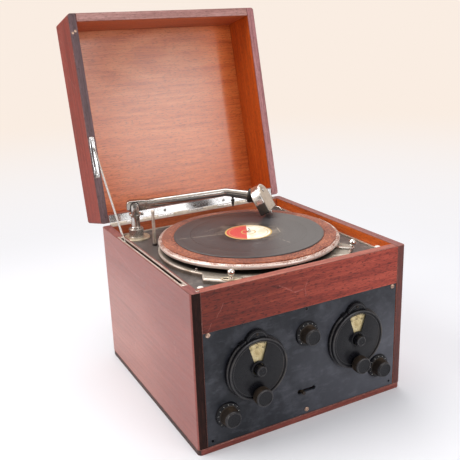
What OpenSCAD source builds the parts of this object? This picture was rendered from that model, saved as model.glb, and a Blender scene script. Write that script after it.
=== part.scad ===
// Table radiogram: a wooden cabinet with a receiver behind a black front panel,
// a turntable with a pick-up arm on top, and a lid held open by a sliding stay.
// Millimetres. The origin is the middle of the underside; +X right, -Y front, +Z up.

/* [Cabinet] */
// Outer width of the cabinet and lid
cab_w = 377; // [374:1:390]
// Outer depth of the cabinet and lid
cab_d = 376; // [374:1:390]
// Height of the cabinet up to its rim
cab_h = 255; // [250:1:270]
// Thickness of the side, front and rear boards
wall = 15; // [14:0.5:16]
// Thickness of the bottom board
bottom_t = 10; // [8:0.5:12]
// Radius of the bottom board's corners
bottom_r = 7; // [4:0.5:10]
// Radius of the rounded upright corners
edge_r = 5; // [3:0.5:6]
// Height of the front board above the control panel
front_board_h = 62.5; // [58:0.5:66]
// Width of the lip that the panels are screwed to
lip_h = 12; // [10:1:14]

/* [Lid] */
// Height of the lid's walls
lid_h = 87; // [85:1:100]
// Gap between the two rims when the lid is shut
lid_gap = 0.8; // [0.8:0.1:1.2]
// Thickness of the lid's top panel
lid_top_t = 8; // [6:0.5:8]
// Opening angle that the stay holds
lid_open = 103.2; // [98:0.1:106]

/* [Hinge and stay] */
// Radius of the hinge knuckles
knuckle_r = 2.4; // [2.2:0.1:2.6]
// Radius of the hinge pin
hinge_pin_r = 1.2; // [1:0.1:1.4]
// Thickness of the hinge leaves
leaf_t = 1; // [1:0.1:1.2]
// Width of the hinge leaves, rim to knuckle
leaf_w = 13; // [11:0.5:13]
// Number of knuckles along the hinge
knuckles = 11; // [7:2:13]
// Share of the cabinet's depth from the hinge to the stay's pivot
stay_share = 0.369; // [0.365:0.001:0.372]
// Distance of the stay's foot behind the front when the lid is shut
stay_front = 50; // [48:0.5:54]
// Depth of the stay strip
stay_w = 6; // [5:0.5:6]
// Thickness of the stay strip
stay_t = 1.6; // [1.2:0.1:1.8]
// Width of the slotted rail
rail_w = 10; // [9:0.5:11]
// Thickness of the rail and of the lid's stay plate
rail_t = 1.2; // [1:0.1:1.4]
// Width of the slot that the stay runs in
slot_w = 5; // [4.8:0.1:5.4]
// Depth of the groove under the slot
groove_d = 16; // [15.5:0.5:18]

/* [Front panel] */
// Thickness of the black panel
panel_t = 5; // [4:0.5:6]
// How far the panel lies behind the front edge
panel_inset = 1; // [0.5:0.5:2]
// Distance of each dial's centre from the side board
dial_side = 83.5; // [82:0.5:87]
// Room between a dial and the top of the panel
dial_top = 24.5; // [22:0.5:27]
// Radius of a dial housing as a share of the panel's height
dial_share = 0.2685; // [0.26:0.0005:0.272]
// Depth of a dial housing
dial_d = 10; // [9.5:0.5:11]
// Radius of the dial's hub knob
hub_r = 8.5; // [8:0.5:9]
// Distance of the vernier knob's shaft from the dial's edge
vernier_in = 9; // [9:0.5:11]
// Radius of the vernier knob
vernier_r = 14; // [12:0.5:15]
// Radius of the skirted knobs' grips
knob_r = 13; // [11:0.5:14]
// Radius of the knobs' skirts
skirt_r = 20; // [18:0.5:21]
// Length of the skirted knobs
knob_len = 20; // [17:0.5:23]
// Distance of the middle knob below the top of the panel
mid_knob_drop = 43.5; // [41:0.5:45.5]
// Distance of the side knobs from the side boards
side_knob_side = 34.5; // [33:0.5:36]
// Height of the side knobs above the bottom board
side_knob_rise = 45; // [42:0.5:47]
// Radius of the control shafts
shaft_r = 3; // [2.5:0.1:3.2]
// Travel of the slide switch
switch_travel = 18; // [14:0.5:20]

/* [Turntable] */
// Depth of the motor board below the rim
board_drop = 18; // [17:0.5:19]
// Thickness of the motor board
board_t = 10; // [8:0.5:12]
// Room between the platter and the side boards
platter_side = 22.5; // [21.5:0.5:26]
// Room between the platter and the front board
platter_front = 6; // [5:0.5:8]
// Room behind the platter for the arm
platter_rear = 38; // [36:0.5:44]
// Radius of the record
record_r = 125; // [110:0.5:126]
// Thickness of the record
record_t = 2; // [1.5:0.1:2]
// Radius of the spindle's pin
pin_r = 3.6; // [3:0.1:4]
// Radius of the spindle in its bearing
journal_r = 4.5; // [4.2:0.1:6]
// How far the motor plate reaches past the platter
plate_lip = 1; // [0.5:0.5:2]
// Height of the motor plate
plate_h = 8; // [7:0.5:9]

/* [Pick-up arm] */
// Distance of the arm's post from the left side board
arm_side = 33.5; // [32.5:0.5:34.5]
// Distance of the arm's post from the rear rail
arm_rear = 30; // [30:0.5:32]
// Height of the arm's lifting pivot above the rim
arm_pivot_h = 42; // [41.5:0.1:42.5]
// Direction of the arm over the record
arm_yaw = -14.75; // [-16:0.25:-14]
// Length of the arm from pivot to bend
arm_len = 166; // [164:0.5:167]
// Rise of the arm to the bend
arm_rise = 9; // [8.5:0.1:9.5]
// Radius of the arm tube
arm_r = 7.3; // [6.5:0.1:7.5]
// Radius of the arm's turning spigot
spigot_r = 6.5; // [6:0.1:7]
// Radius of the lifting pivot pin
arm_pin_r = 2.5; // [2:0.1:3]
// Half of the pick-up head's width
head_r = 24; // [22:0.5:24.5]
// Thickness of the pick-up head
head_t = 17; // [15:0.5:18]

/* [Fits] */
// Radial play of a shaft or pin in its bore
run_fit = 0.05; // [0.03:0.01:0.08]
// Gap around a panel in its frame
panel_gap = 0.5; // [0.3:0.1:0.8]
// Gap between parts that move past each other
move_gap = 0.4; // [0.4:0.1:0.6]

/* [Hidden] */
$fn = 64;
eps = 0.01;
hw = cab_w / 2;
hd = cab_d / 2;
in_x = hw - wall;
in_y = hd - wall;
panel_top = cab_h - front_board_h;
panel_y = -hd + panel_inset;
panel_back = panel_y + panel_t;
panel_h = panel_top - bottom_t;
back_top = panel_top - lip_h;
board_top = cab_h - board_drop;
board_low = board_top - board_t;
edging_w = 4;
edging_h = 2.5;
batten_w = 10;
batten_h = 15;
lift_side = 15;
lift_front = 17;
lift_h = 12;
lift_r = 5.2;

lid_z = cab_h + lid_gap;
lid_top = lid_z + lid_h;
axis_y = hd + knuckle_r + 0.3;
axis_z = cab_h + lid_gap / 2;
leaf_sink = leaf_t - lid_gap / 4;
hinge_len = 2 * in_x - 3;
knuckle_pitch = hinge_len / knuckles;
leaf_screw_r = 3;
leaf_screw_y = hd - leaf_w / 2;
leaf_screw_xs = [for (i = [-2:2]) i * 4 * knuckle_pitch / 2];

// The stay: its pivot hangs below the lid's rim and lies in the cabinet's groove when shut.
stay_x = -hw + wall / 2;
stay_py = axis_y - stay_share * cab_d;
stay_len = stay_py + hd - stay_front;
stay_pz = cab_h - 4;
stay_shut_drop = 1.5;
lug_t = 1.6;
lug_gap = 0.3;
lug_x = stay_x - (lug_t + 2 * lug_gap + stay_t) / 2;
strip_x = lug_x + lug_t + lug_gap + stay_t / 2;
stay_pin_r = 1.5;
stay_eye_r = 3.2;
// Pivot with the lid open, and the foot on the rail
open_py = axis_y + (stay_py - axis_y) * cos(lid_open) + (stay_pz - axis_z) * sin(lid_open);
open_pz = axis_z - (stay_py - axis_y) * sin(lid_open) + (stay_pz - axis_z) * cos(lid_open);
foot_z = stay_pz - stay_shut_drop;
foot_y = open_py - sqrt(stay_len * stay_len - pow(open_pz - foot_z, 2));
stay_tilt = atan2(open_pz - foot_z, open_py - foot_y);
shut_foot_y = stay_py - stay_len;
shoe_l = 9;
shoe_h = 4;
shoe_top = foot_z - stay_eye_r - 0.6;
slot_y0 = shut_foot_y - 6;
slot_y1 = foot_y + (cab_h - foot_z) / tan(stay_tilt) + stay_w / 2 / sin(stay_tilt) + 2;
rail_y0 = slot_y0 - 9;
rail_y1 = slot_y1 + 9;
rail_screw_r = 2.4;
plate_y0 = stay_py - 22;
plate_y1 = stay_py + 52;

panel_screw_side = 8.5;
panel_screw_xs = [-in_x + panel_screw_side, 0, in_x - panel_screw_side];
panel_screw_r = 2.2;
dial_r = dial_share * panel_h;
dial_x = in_x - dial_side;
dial_z = panel_top - dial_top - dial_r;
vernier_drop = dial_r - vernier_in;
mid_knob_z = panel_top - mid_knob_drop;
side_knob_x = in_x - side_knob_side;
side_knob_z = bottom_t + side_knob_rise;
panel_screw_z0 = bottom_t + 8;
panel_screw_z1 = panel_top - 4;
dial_wall = 2;
dial_face = panel_y - dial_d;
bezel_h = 1.5;
cavity_r = dial_r - 3;
scale_r = cavity_r - 1.5;
scale_y = panel_y - 4;
scale_t = 2;
hub_front = dial_face - 10;
vernier_back = dial_face - bezel_h - 0.6;
vernier_len = 15;
window_r0 = 13;
window_r1 = cavity_r - 2.5;
lobe_r = 19;
knob_back = panel_y - 0.6;
switch_z = 52;
switch_r = 2.2;
switch_slot_h = 2 * switch_r + 1;
switch_x = -switch_travel / 2;

platter_r = min(in_x - platter_side, in_y - (platter_front + platter_rear) / 2);
sp_y = -in_y + platter_front + platter_r;
plate_r = platter_r + plate_lip;
plate_top = board_top + plate_h;
plate_t = 2;
ear_out = plate_r + 19;
ear_in = plate_r - 30;
ear_w = 56;
ear_step = 0.5;
ear_angles = [225, 315];
speed_angle = 231.4;
brake_angle = 316.2;
lever_t = 2;
lever_z = plate_top + move_gap;
lever_pivot = 118;
lever_pin_r = 2.5;
ball_r = 5.5;
speed_out = plate_r + 13.5;
brake_out = plate_r + 20;
motor_r = 44;
motor_h = 75;
motor_low = board_low - motor_h;
motor_floor = 30;
bearing_r = 11;
bearing_top = plate_top + 4;
platter_rise = 16;
platter_low = board_top + platter_rise;
platter_h = 8;
platter_top = platter_low + platter_h;
felt_t = 1.5;
felt_top = platter_top + felt_t;
record_top = felt_top + record_t;

arm_x = -in_x + arm_side;
arm_y = in_y - arm_rear;
pz = cab_h + arm_pivot_h;
rest_x = 11.5;
rest_y = 57;
rest_r = 3.1;
rest_h = pz + 2 - board_top;
flange_r = 25;
flange_t = 3;
barrel_r = 13;
barrel_top = cab_h + 1;
pillar_r = 8.5;
ring_r = pillar_r + 2.8;
fork_in = 7.8;
fork_t = 3;
arm_head_r = 9.8;
arm_tail = 16.5;
neck_angle = 23;
neck_len = 40;
neck_drop = 5.4;
neck_r = 8.3;
bend = [arm_len, 0, arm_rise];
neck_end = [arm_len + neck_len * cos(neck_angle), -neck_len * sin(neck_angle), arm_rise - neck_drop];
arm_dir = bend / norm(bend);
neck_dir = (neck_end - bend) / norm(neck_end - bend);
elbow_r = 28;
elbow_turn = acos(arm_dir * neck_dir);
elbow_cut = elbow_r * tan(elbow_turn / 2);
elbow_lap = 1;
elbow_step = 0.15;
elbow_in = (neck_dir - (arm_dir * neck_dir) * arm_dir) / sin(elbow_turn);
collar_r = 13;
collar_t = 7;
head_at = neck_end + [16.7, -4.9, -9.2];
head_turn = -30.3;
head_tilt = 28;
head_low = 27;
face_t = 1.2;
needle_at = head_t - 5;
needle_r = 1.2;
// Length of a cutter that bores right through the arm base or the fork
bore_run = 60;
// Height of the needle's hole above the record, and the needle that fills it
needle_drop = pz + head_at[2] - head_low * cos(head_tilt) + needle_at * sin(head_tilt) - record_top;

chassis_h = 28;
chassis_t = 2;
chassis_top = bottom_t + chassis_h;
chassis_side_room = 23.5;
chassis_front_room = 63;
chassis_back_room = 23;
chassis_x = in_x - chassis_side_room;
chassis_y0 = -in_y + chassis_front_room;
chassis_y1 = in_y - chassis_back_room;
cond_w = 64;
cond_d = 48;
cond_h = 60;
pot_r = 16;
pot_d = 18;
trafo_in = 20;
trafo_w = 60;
trafo_d = 65;
trafo_h = 55;
trafo_back = 90;
trafo_y = chassis_y1 - trafo_back;
core_lap = 10;
core_d = 21;
valve_r = 17;
bulb_r = 23;
valve_h = 30;
neck_h = 20;
bulb_h = 25;
valve_back = 55;
valve_y = chassis_y1 - valve_back;
valve_pitch = 0.4 * chassis_x;
vent_pitch = 24;
vent_w = 8;
vent_h = 50;
vent_low = 85;
vent_z0 = bottom_t + vent_low;
window_low = 28;
window_z0 = bottom_t + window_low;
window_h = 20;
socket_r = 2;
socket_pitch = 19;

// Shared shapes

module box(x0, x1, y0, y1, z0, z1) {
    translate([x0, y0, z0])
        cube([x1 - x0, y1 - y0, z1 - z0]);
}

// Cylinder along -Y that starts on the plane y
module knob_cyl(x, y, z, r, len) {
    translate([x, y, z])
        rotate([90, 0, 0])
            cylinder(r = r, h = len);
}

// Board along Y whose two outer upright corners are rounded
module side_board(z0, z1) {
    box(-hw, -in_x, -hd + edge_r, hd - edge_r, z0, z1);
    box(-hw + edge_r, -in_x, -hd, hd, z0, z1);
    for (s = [-1, 1])
        translate([-hw + edge_r, s * (hd - edge_r), z0])
            cylinder(r = edge_r, h = z1 - z0);
}

// Screw head on the plane z = 0, with a short shank that fills its hole
module screw(r, head_h, shank_h) {
    cylinder(r = r, h = head_h);
    translate([0, 0, -shank_h])
        cylinder(r = r * 0.6, h = shank_h + eps);
}

// Moves a part drawn with the lid shut to where the open lid holds it
module on_lid() {
    translate([0, axis_y, axis_z])
        rotate([-lid_open, 0, 0])
            translate([0, -axis_y, -axis_z])
                children();
}

// Hinge barrels of one leaf: those whose number is odd or even
module barrels(first, bore_r) {
    for (i = [first:2:knuckles - 1])
        translate([-hinge_len / 2 + i * knuckle_pitch + move_gap / 2, axis_y, axis_z])
            rotate([0, 90, 0])
                difference() {
                    cylinder(r = knuckle_r, h = knuckle_pitch - move_gap);
                    translate([0, 0, -1])
                        cylinder(r = bore_r, h = knuckle_pitch + 2);
                }
}

// Leaf on a rim, from z0 to z1, with tongues to its own barrels
module leaf(first, z0, z1, bore_r) {
    difference() {
        union() {
            box(-hinge_len / 2, hinge_len / 2, hd - leaf_w, axis_y - knuckle_r - move_gap, z0, z1);
            for (i = [first:2:knuckles - 1])
                box(-hinge_len / 2 + i * knuckle_pitch + move_gap / 2,
                    -hinge_len / 2 + (i + 1) * knuckle_pitch - move_gap / 2,
                    hd - leaf_w, axis_y - bore_r - 0.4, z0, z1);
        }
        for (x = leaf_screw_xs)
            translate([x, leaf_screw_y, z0 - 1])
                cylinder(r = leaf_screw_r, h = leaf_t + 2);
    }
    barrels(first, bore_r);
}

// Cabinet

module side_left() {
    color("saddlebrown")
        difference() {
            side_board(bottom_t, cab_h);
            box(stay_x - slot_w / 2, stay_x + slot_w / 2, slot_y0, slot_y1, cab_h - groove_d, cab_h + 1);
            box(stay_x - rail_w / 2, stay_x + rail_w / 2, rail_y0, rail_y1, cab_h - rail_t, cab_h + 1);
        }
}

module side_right() {
    color("saddlebrown")
        mirror([1, 0, 0])
            side_board(bottom_t, cab_h);
}

module front_board() {
    color("sienna") {
        box(-in_x, in_x, -hd, -in_y, panel_top, cab_h);
        box(-in_x, in_x, panel_back, -in_y, panel_top - lip_h, panel_top);
    }
}

module rear_rail() {
    color("saddlebrown")
        difference() {
            union() {
                box(-in_x, in_x, in_y, hd, back_top, cab_h);
                box(-in_x, in_x, in_y, hd - panel_t - panel_inset, back_top - lip_h, back_top);
            }
            box(-hinge_len / 2, hinge_len / 2, hd - leaf_w, hd + 1, cab_h - leaf_sink, cab_h + 1);
        }
}

// Full-width board under the sides, with rounded corners
module bottom_board() {
    color("saddlebrown") {
        box(-hw, hw, -hd + bottom_r, hd - bottom_r, 0, bottom_t);
        box(-hw + bottom_r, hw - bottom_r, -hd, hd, 0, bottom_t);
        for (x = [-hw + bottom_r, hw - bottom_r], y = [-hd + bottom_r, hd - bottom_r])
            translate([x, y, 0])
                cylinder(r = bottom_r, h = bottom_t);
        box(-in_x, in_x, panel_back, -in_y, bottom_t, bottom_t + lip_h);
        box(-in_x, in_x, in_y, hd - panel_t - panel_inset, bottom_t, bottom_t + lip_h);
    }
}

module board_battens() {
    color("burlywood")
        for (x = [-in_x, in_x - batten_w])
            box(x, x + batten_w, -in_y + 2, in_y - 2, board_low - batten_h, board_low);
}

module back_panel() {
    color("peru")
        difference() {
            box(-in_x + panel_gap, in_x - panel_gap, hd - panel_inset - panel_t, hd - panel_inset,
                bottom_t + panel_gap, back_top - panel_gap);
            for (i = [-4:4])
                box(i * vent_pitch - vent_w / 2, i * vent_pitch + vent_w / 2, hd - 20, hd + 1,
                    vent_z0, vent_z0 + vent_h);
            box(-2 * socket_pitch, 2 * socket_pitch, hd - 20, hd + 1, window_z0, window_z0 + window_h);
            for (x = panel_screw_xs, z = [bottom_t + 6, back_top - 6])
                translate([x, hd + 1, z])
                    rotate([90, 0, 0])
                        cylinder(r = panel_screw_r, h = 20);
        }
}

module motor_board() {
    color("dimgray")
        difference() {
            box(-in_x + panel_gap, in_x - panel_gap, -in_y + panel_gap, in_y - panel_gap,
                board_low, board_top);
            translate([0, sp_y, board_low - 1])
                cylinder(r = motor_r + 1, h = board_t + 2);
            translate([arm_x, arm_y, board_low - 1])
                cylinder(r = spigot_r + 1, h = board_t + 2);
        }
}

module board_edging() {
    x1 = in_x - panel_gap;
    y1 = in_y - panel_gap;
    color("silver")
        difference() {
            box(-x1, x1, -y1, y1, board_top, board_top + edging_h);
            box(-x1 + edging_w, x1 - edging_w, -y1 + edging_w, y1 - edging_w, board_top - 1, cab_h);
        }
}

// Two flat-headed knobs that lift the motor board out
module lift_knobs() {
    color("ivory")
        for (s = [-1, 1])
            translate([s * (in_x - lift_side), -in_y + lift_front, board_top]) {
                cylinder(r = lift_r - 3, h = lift_h);
                translate([0, 0, lift_h - 1])
                    cylinder(r1 = lift_r - 1.2, r2 = lift_r, h = 2);
            }
}

module stay_rail() {
    color("silver")
        difference() {
            box(stay_x - rail_w / 2, stay_x + rail_w / 2, rail_y0, rail_y1, cab_h - rail_t, cab_h);
            box(stay_x - slot_w / 2, stay_x + slot_w / 2, slot_y0, slot_y1, cab_h - 3, cab_h + 1);
            for (y = [rail_y0 + 4.5, rail_y1 - 4.5])
                translate([stay_x, y, cab_h - 3])
                    cylinder(r = rail_screw_r, h = 6);
        }
}

module cabinet_leaf() {
    color("silver")
        leaf(0, cab_h - leaf_sink, cab_h - leaf_sink + leaf_t, hinge_pin_r);
}

module hinge_pin() {
    color("gray")
        translate([-hinge_len / 2, axis_y, axis_z])
            rotate([0, 90, 0])
                cylinder(r = hinge_pin_r, h = hinge_len);
}

// Screws of the rail, the cabinet leaf and the back panel
module cabinet_screws() {
    color("silver") {
        for (x = leaf_screw_xs)
            translate([x, leaf_screw_y, cab_h - leaf_sink])
                cylinder(r = leaf_screw_r, h = leaf_t);
        for (y = [rail_y0 + 4.5, rail_y1 - 4.5])
            translate([stay_x, y, cab_h - rail_t])
                cylinder(r = rail_screw_r, h = rail_t);
        for (x = panel_screw_xs, z = [bottom_t + 6, back_top - 6])
            translate([x, hd - panel_inset, z])
                rotate([-90, 0, 0]) {
                    translate([0, 0, -panel_t])
                        cylinder(r = panel_screw_r, h = panel_t + eps);
                    cylinder(r1 = 4, r2 = 3, h = 1);
                }
    }
}

// Front panel

module control_panel() {
    color("black")
        difference() {
            box(-in_x + panel_gap, in_x - panel_gap, panel_y, panel_back, bottom_t + panel_gap,
                panel_top - panel_gap);
            for (x = panel_screw_xs, z = [panel_screw_z0, panel_screw_z1])
                knob_cyl(x, panel_back + 1, z, panel_screw_r, panel_t + 2);
            for (s = [-1, 1]) {
                knob_cyl(s * dial_x, panel_back + 1, dial_z, shaft_r + run_fit, panel_t + 2);
                knob_cyl(s * side_knob_x, panel_back + 1, side_knob_z, shaft_r + run_fit, panel_t + 2);
            }
            knob_cyl(0, panel_back + 1, mid_knob_z, shaft_r + run_fit, panel_t + 2);
            box(switch_x - 4, switch_x + switch_travel + 4, panel_y - 1, panel_back + 1,
                switch_z - switch_slot_h / 2, switch_z + switch_slot_h / 2);
            for (x = [switch_x - 4, switch_x + switch_travel + 4])
                knob_cyl(x, panel_back + 1, switch_z, switch_slot_h * 0.72, panel_t + 2);
        }
}

// The three screws that are left in the panel's six holes
module panel_screws() {
    color("darkgoldenrod")
        for (p = [[panel_screw_xs[0], panel_screw_z1], [panel_screw_xs[2], panel_screw_z1],
                  [panel_screw_xs[1], panel_screw_z0]])
            translate([p[0], panel_y, p[1]])
                rotate([90, 0, 0]) {
                    translate([0, 0, -panel_t])
                        cylinder(r = panel_screw_r, h = panel_t + eps);
                    intersection() {
                        translate([0, 0, -2.2])
                            sphere(r = 4.4);
                        cylinder(r = 4, h = 4);
                    }
                }
}

// Fixed cup of a dial, with its window, its top lobe and the vernier's bearing
module dial_housing(x) {
    color("black")
        translate([x, panel_y, dial_z])
            rotate([90, 0, 0])
                difference() {
                    union() {
                        cylinder(r = dial_r, h = dial_d);
                        cylinder(r = dial_r + 2, h = dial_d * 0.55);
                        translate([0, dial_r - 7, 0])
                            cylinder(r = lobe_r, h = dial_d * 0.7);
                        difference() {
                            cylinder(r = dial_r, h = dial_d + bezel_h);
                            cylinder(r = dial_r - 3.5, h = dial_d + bezel_h + 1);
                        }
                    }
                    translate([0, 0, -1])
                        cylinder(r = cavity_r, h = dial_d - dial_wall + 1);
                    translate([0, 0, -1])
                        cylinder(r = hub_r + 0.7, h = dial_d + 2);
                    translate([0, -vernier_drop, -1])
                        cylinder(r = shaft_r + run_fit, h = dial_d + 2);
                    translate([0, 0, dial_d / 2])
                        linear_extrude(dial_d)
                            window_shape();
                }
}

// Sector window: wide and curved at the top, narrow and curved at the hub
module window_shape() {
    difference() {
        intersection() {
            circle(r = window_r1);
            polygon([[-6, 8], [6, 8], [18.5, window_r1 + 5], [-18.5, window_r1 + 5]]);
        }
        circle(r = window_r0);
    }
}

module dial_left() {
    dial_housing(-dial_x);
}

module dial_right() {
    dial_housing(dial_x);
}

module scale_disc(x) {
    color("wheat")
        difference() {
            knob_cyl(x, scale_y, dial_z, scale_r, scale_t);
            knob_cyl(x, scale_y + 1, dial_z, shaft_r, scale_t + 2);
        }
}

module scale_left() {
    scale_disc(-dial_x);
}

module scale_right() {
    scale_disc(dial_x);
}

// Shaft through the panel with the small knob on its end
module dial_hub(x) {
    color("black") {
        knob_cyl(x, panel_back, dial_z, shaft_r, panel_back - scale_y + scale_t + eps);
        knob_cyl(x, scale_y - scale_t, dial_z, hub_r, scale_y - scale_t - hub_front - 1);
        knob_cyl(x, hub_front + 1 + eps, dial_z, hub_r - 1.2, 1);
    }
}

module hub_left() {
    dial_hub(-dial_x);
}

module hub_right() {
    dial_hub(dial_x);
}

module vernier(x) {
    z = dial_z - vernier_drop;
    color("black") {
        knob_cyl(x, dial_face + dial_wall + 1, z, shaft_r, dial_face + dial_wall + 1 - vernier_back + eps);
        knob_cyl(x, vernier_back, z, vernier_r - 1.5, 2 + eps);
        knob_cyl(x, vernier_back - 2, z, vernier_r, vernier_len - 3.5);
        knob_cyl(x, vernier_back - vernier_len + 1.5 + eps, z, vernier_r - 1.2, 1.5);
    }
}

module vernier_left() {
    vernier(-dial_x);
}

module vernier_right() {
    vernier(dial_x);
}

// Knob with a flat skirt, on a shaft through the panel
module skirted_knob(x, z) {
    color("black") {
        knob_cyl(x, panel_back, z, shaft_r, panel_back - knob_back + eps);
        translate([x, knob_back, z])
            rotate([90, 0, 0]) {
                cylinder(r1 = skirt_r, r2 = skirt_r - 1, h = 3);
                cylinder(r1 = knob_r + 1, r2 = knob_r, h = knob_len - 1.5);
                cylinder(r = knob_r - 1.3, h = knob_len);
            }
    }
}

module volume_knob() {
    skirted_knob(0, mid_knob_z);
}

module left_knob() {
    skirted_knob(-side_knob_x, side_knob_z);
}

module right_knob() {
    skirted_knob(side_knob_x, side_knob_z);
}

module switch_lever() {
    color("black") {
        knob_cyl(switch_x, panel_back + 4, switch_z, switch_r, panel_t + 4 + 4);
        knob_cyl(switch_x, panel_y - 3, switch_z, switch_r + 0.6, 4);
        box(switch_x - 6, switch_x + 6, panel_back + move_gap, panel_back + 4, switch_z - 6, switch_z + 6);
    }
}

// Inside the cabinet

module chassis() {
    color("silver")
        difference() {
            box(-chassis_x, chassis_x, chassis_y0, chassis_y1, bottom_t, chassis_top);
            box(-chassis_x + chassis_t, chassis_x - chassis_t, chassis_y0 + chassis_t, chassis_y1 - chassis_t,
                bottom_t - 1, chassis_top - chassis_t);
        }
}

module condensers() {
    color("goldenrod")
        for (s = [-1, 1])
            difference() {
                box(s * dial_x - cond_w / 2, s * dial_x + cond_w / 2, panel_back, panel_back + cond_d,
                    dial_z - cond_h / 2, dial_z + cond_h / 2);
                knob_cyl(s * dial_x, panel_back + cond_d / 2, dial_z, shaft_r + 1, cond_d);
            }
}

module potentiometers() {
    color("darkslategray")
        for (p = [[0, mid_knob_z], [-side_knob_x, side_knob_z], [side_knob_x, side_knob_z]])
            difference() {
                knob_cyl(p[0], panel_back + pot_d, p[1], pot_r, pot_d);
                knob_cyl(p[0], panel_back + pot_d / 3, p[1], shaft_r + 1, pot_d);
            }
}

module transformer() {
    x1 = chassis_x - trafo_in;
    x0 = x1 - trafo_w;
    y0 = trafo_y + (trafo_d - core_d) / 2;
    color("dimgray") {
        box(x0, x1, trafo_y, trafo_y + trafo_d, chassis_top, chassis_top + trafo_h);
        box(x0 - core_lap, x1 + core_lap, y0, y0 + core_d, chassis_top,
            chassis_top + trafo_h + core_lap * 0.7);
    }
}

module valves() {
    color("lightgray")
        for (i = [0:2])
            translate([-chassis_x + 40 + i * valve_pitch, valve_y, chassis_top]) {
                cylinder(r = valve_r, h = valve_h);
                translate([0, 0, valve_h])
                    cylinder(r1 = valve_r, r2 = bulb_r, h = neck_h);
                translate([0, 0, valve_h + neck_h])
                    cylinder(r = bulb_r, h = bulb_h);
                translate([0, 0, valve_h + neck_h + bulb_h])
                    sphere(r = bulb_r);
            }
}

// Sockets for the aerial, the earth and a loudspeaker
module terminal_strip() {
    y1 = hd - panel_inset - panel_t;
    color("black")
        difference() {
            box(-2 * socket_pitch - 8, 2 * socket_pitch + 8, y1 - 4, y1,
                window_z0 - 6, window_z0 + window_h + 6);
            for (i = [-1.5:1:1.5])
                translate([i * socket_pitch, y1 + 1, window_z0 + window_h / 2])
                    rotate([90, 0, 0])
                        cylinder(r = socket_r, h = 6);
        }
}

// Turntable

module ear(angle) {
    rotate([0, 0, angle])
        translate([ear_in, -ear_w / 2, 0])
            cube([ear_out - ear_in, ear_w, plate_h - ear_step]);
}

module motor_plate() {
    color("lightgray")
        translate([0, sp_y, board_top])
            difference() {
                union() {
                    rotate_extrude()
                        motor_plate_profile();
                    for (a = ear_angles)
                        ear(a);
                }
                for (a = ear_angles)
                    rotate([0, 0, a])
                        translate([ear_in + plate_t, -ear_w / 2 + plate_t, -1])
                            cube([ear_out - ear_in - 2 * plate_t, ear_w - 2 * plate_t,
                                  plate_h - plate_t - ear_step + 1]);
                for (a = [speed_angle, brake_angle])
                    rotate([0, 0, a])
                        translate([lever_pivot, 0, -1])
                            cylinder(r = lever_pin_r + run_fit, h = plate_h + 2);
                translate([0, 0, -1])
                    cylinder(r = plate_r - 3, h = plate_h - plate_t + 1);
                translate([0, 0, -1])
                    cylinder(r = bearing_r, h = plate_h + 2);
            }
}

module motor_plate_profile() {
    polygon([[0, 0], [plate_r, 0], [plate_r, plate_h - 3], [plate_r - 3, plate_h], [0, plate_h]]);
}

// Motor under the plate, with the bearing that carries the spindle
module motor() {
    color("gray")
        translate([0, sp_y, 0])
            difference() {
                union() {
                    translate([0, 0, motor_low])
                        cylinder(r = motor_r, h = plate_top - plate_t - motor_low);
                    translate([0, 0, plate_top - plate_t - eps])
                        cylinder(r = bearing_r, h = bearing_top - plate_top + plate_t + eps);
                }
                translate([0, 0, motor_low + motor_floor])
                    cylinder(r = journal_r + run_fit, h = bearing_top - motor_low);
            }
}

module spindle() {
    color("silver")
        translate([0, sp_y, 0]) {
            translate([0, 0, motor_low + motor_floor + 1])
                cylinder(r = journal_r, h = platter_top - motor_low - motor_floor - 1);
            translate([0, 0, platter_top - eps])
                cylinder(r = pin_r, h = record_top + 3.5 - platter_top);
            translate([0, 0, record_top + 3.5 - 2 * eps])
                cylinder(r1 = pin_r, r2 = pin_r * 0.55, h = 2.5);
        }
}

module platter() {
    color("silver")
        translate([0, sp_y, 0])
            rotate_extrude($fn = 180)
                platter_profile();
}

// Web, half-round rim and hub, cut on one side
module platter_profile() {
    edge = platter_h / 2;
    translate([journal_r, platter_top - 3])
        square([platter_r - edge - journal_r, 3]);
    translate([platter_r - edge - 6, platter_low])
        square([6, platter_h]);
    translate([platter_r - edge, platter_low + edge])
        circle(r = edge);
    translate([journal_r, bearing_top + move_gap])
        square([12, platter_top - bearing_top - move_gap]);
}

module felt() {
    color("sienna")
        translate([0, sp_y, platter_top])
            difference() {
                cylinder(r = platter_r - 5, h = felt_t);
                translate([0, 0, -1])
                    cylinder(r = pin_r + 1, h = felt_t + 2);
            }
}

module record() {
    color("black")
        translate([0, sp_y, felt_top])
            difference() {
                cylinder(r = record_r, h = record_t);
                translate([0, 0, -1])
                    cylinder(r = pin_r + run_fit, h = record_t + 2);
            }
}

// Flat lever on a pin in the motor plate, with a ball to move it by
module ball_lever(angle, out) {
    color("silver")
        translate([0, sp_y, 0])
            rotate([0, 0, angle]) {
                translate([lever_pivot, 0, lever_z]) {
                    cylinder(r = 6, h = lever_t);
                    translate([0, 0, -move_gap - plate_t])
                        cylinder(r = lever_pin_r, h = lever_t + move_gap + plate_t);
                }
                translate([lever_pivot, -4, lever_z])
                    cube([out - lever_pivot, 8, lever_t]);
                translate([out, 0, lever_z])
                    cylinder(r = 4, h = lever_t);
                translate([out, 0, lever_z + lever_t - eps])
                    cylinder(r1 = 2.6, r2 = 1.8, h = 5);
                translate([out, 0, lever_z + lever_t + 4 + ball_r * 0.8])
                    sphere(r = ball_r);
            }
}

module speed_lever() {
    ball_lever(speed_angle, speed_out);
}

module brake_lever() {
    ball_lever(brake_angle, brake_out);
}

// Pick-up arm

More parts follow.
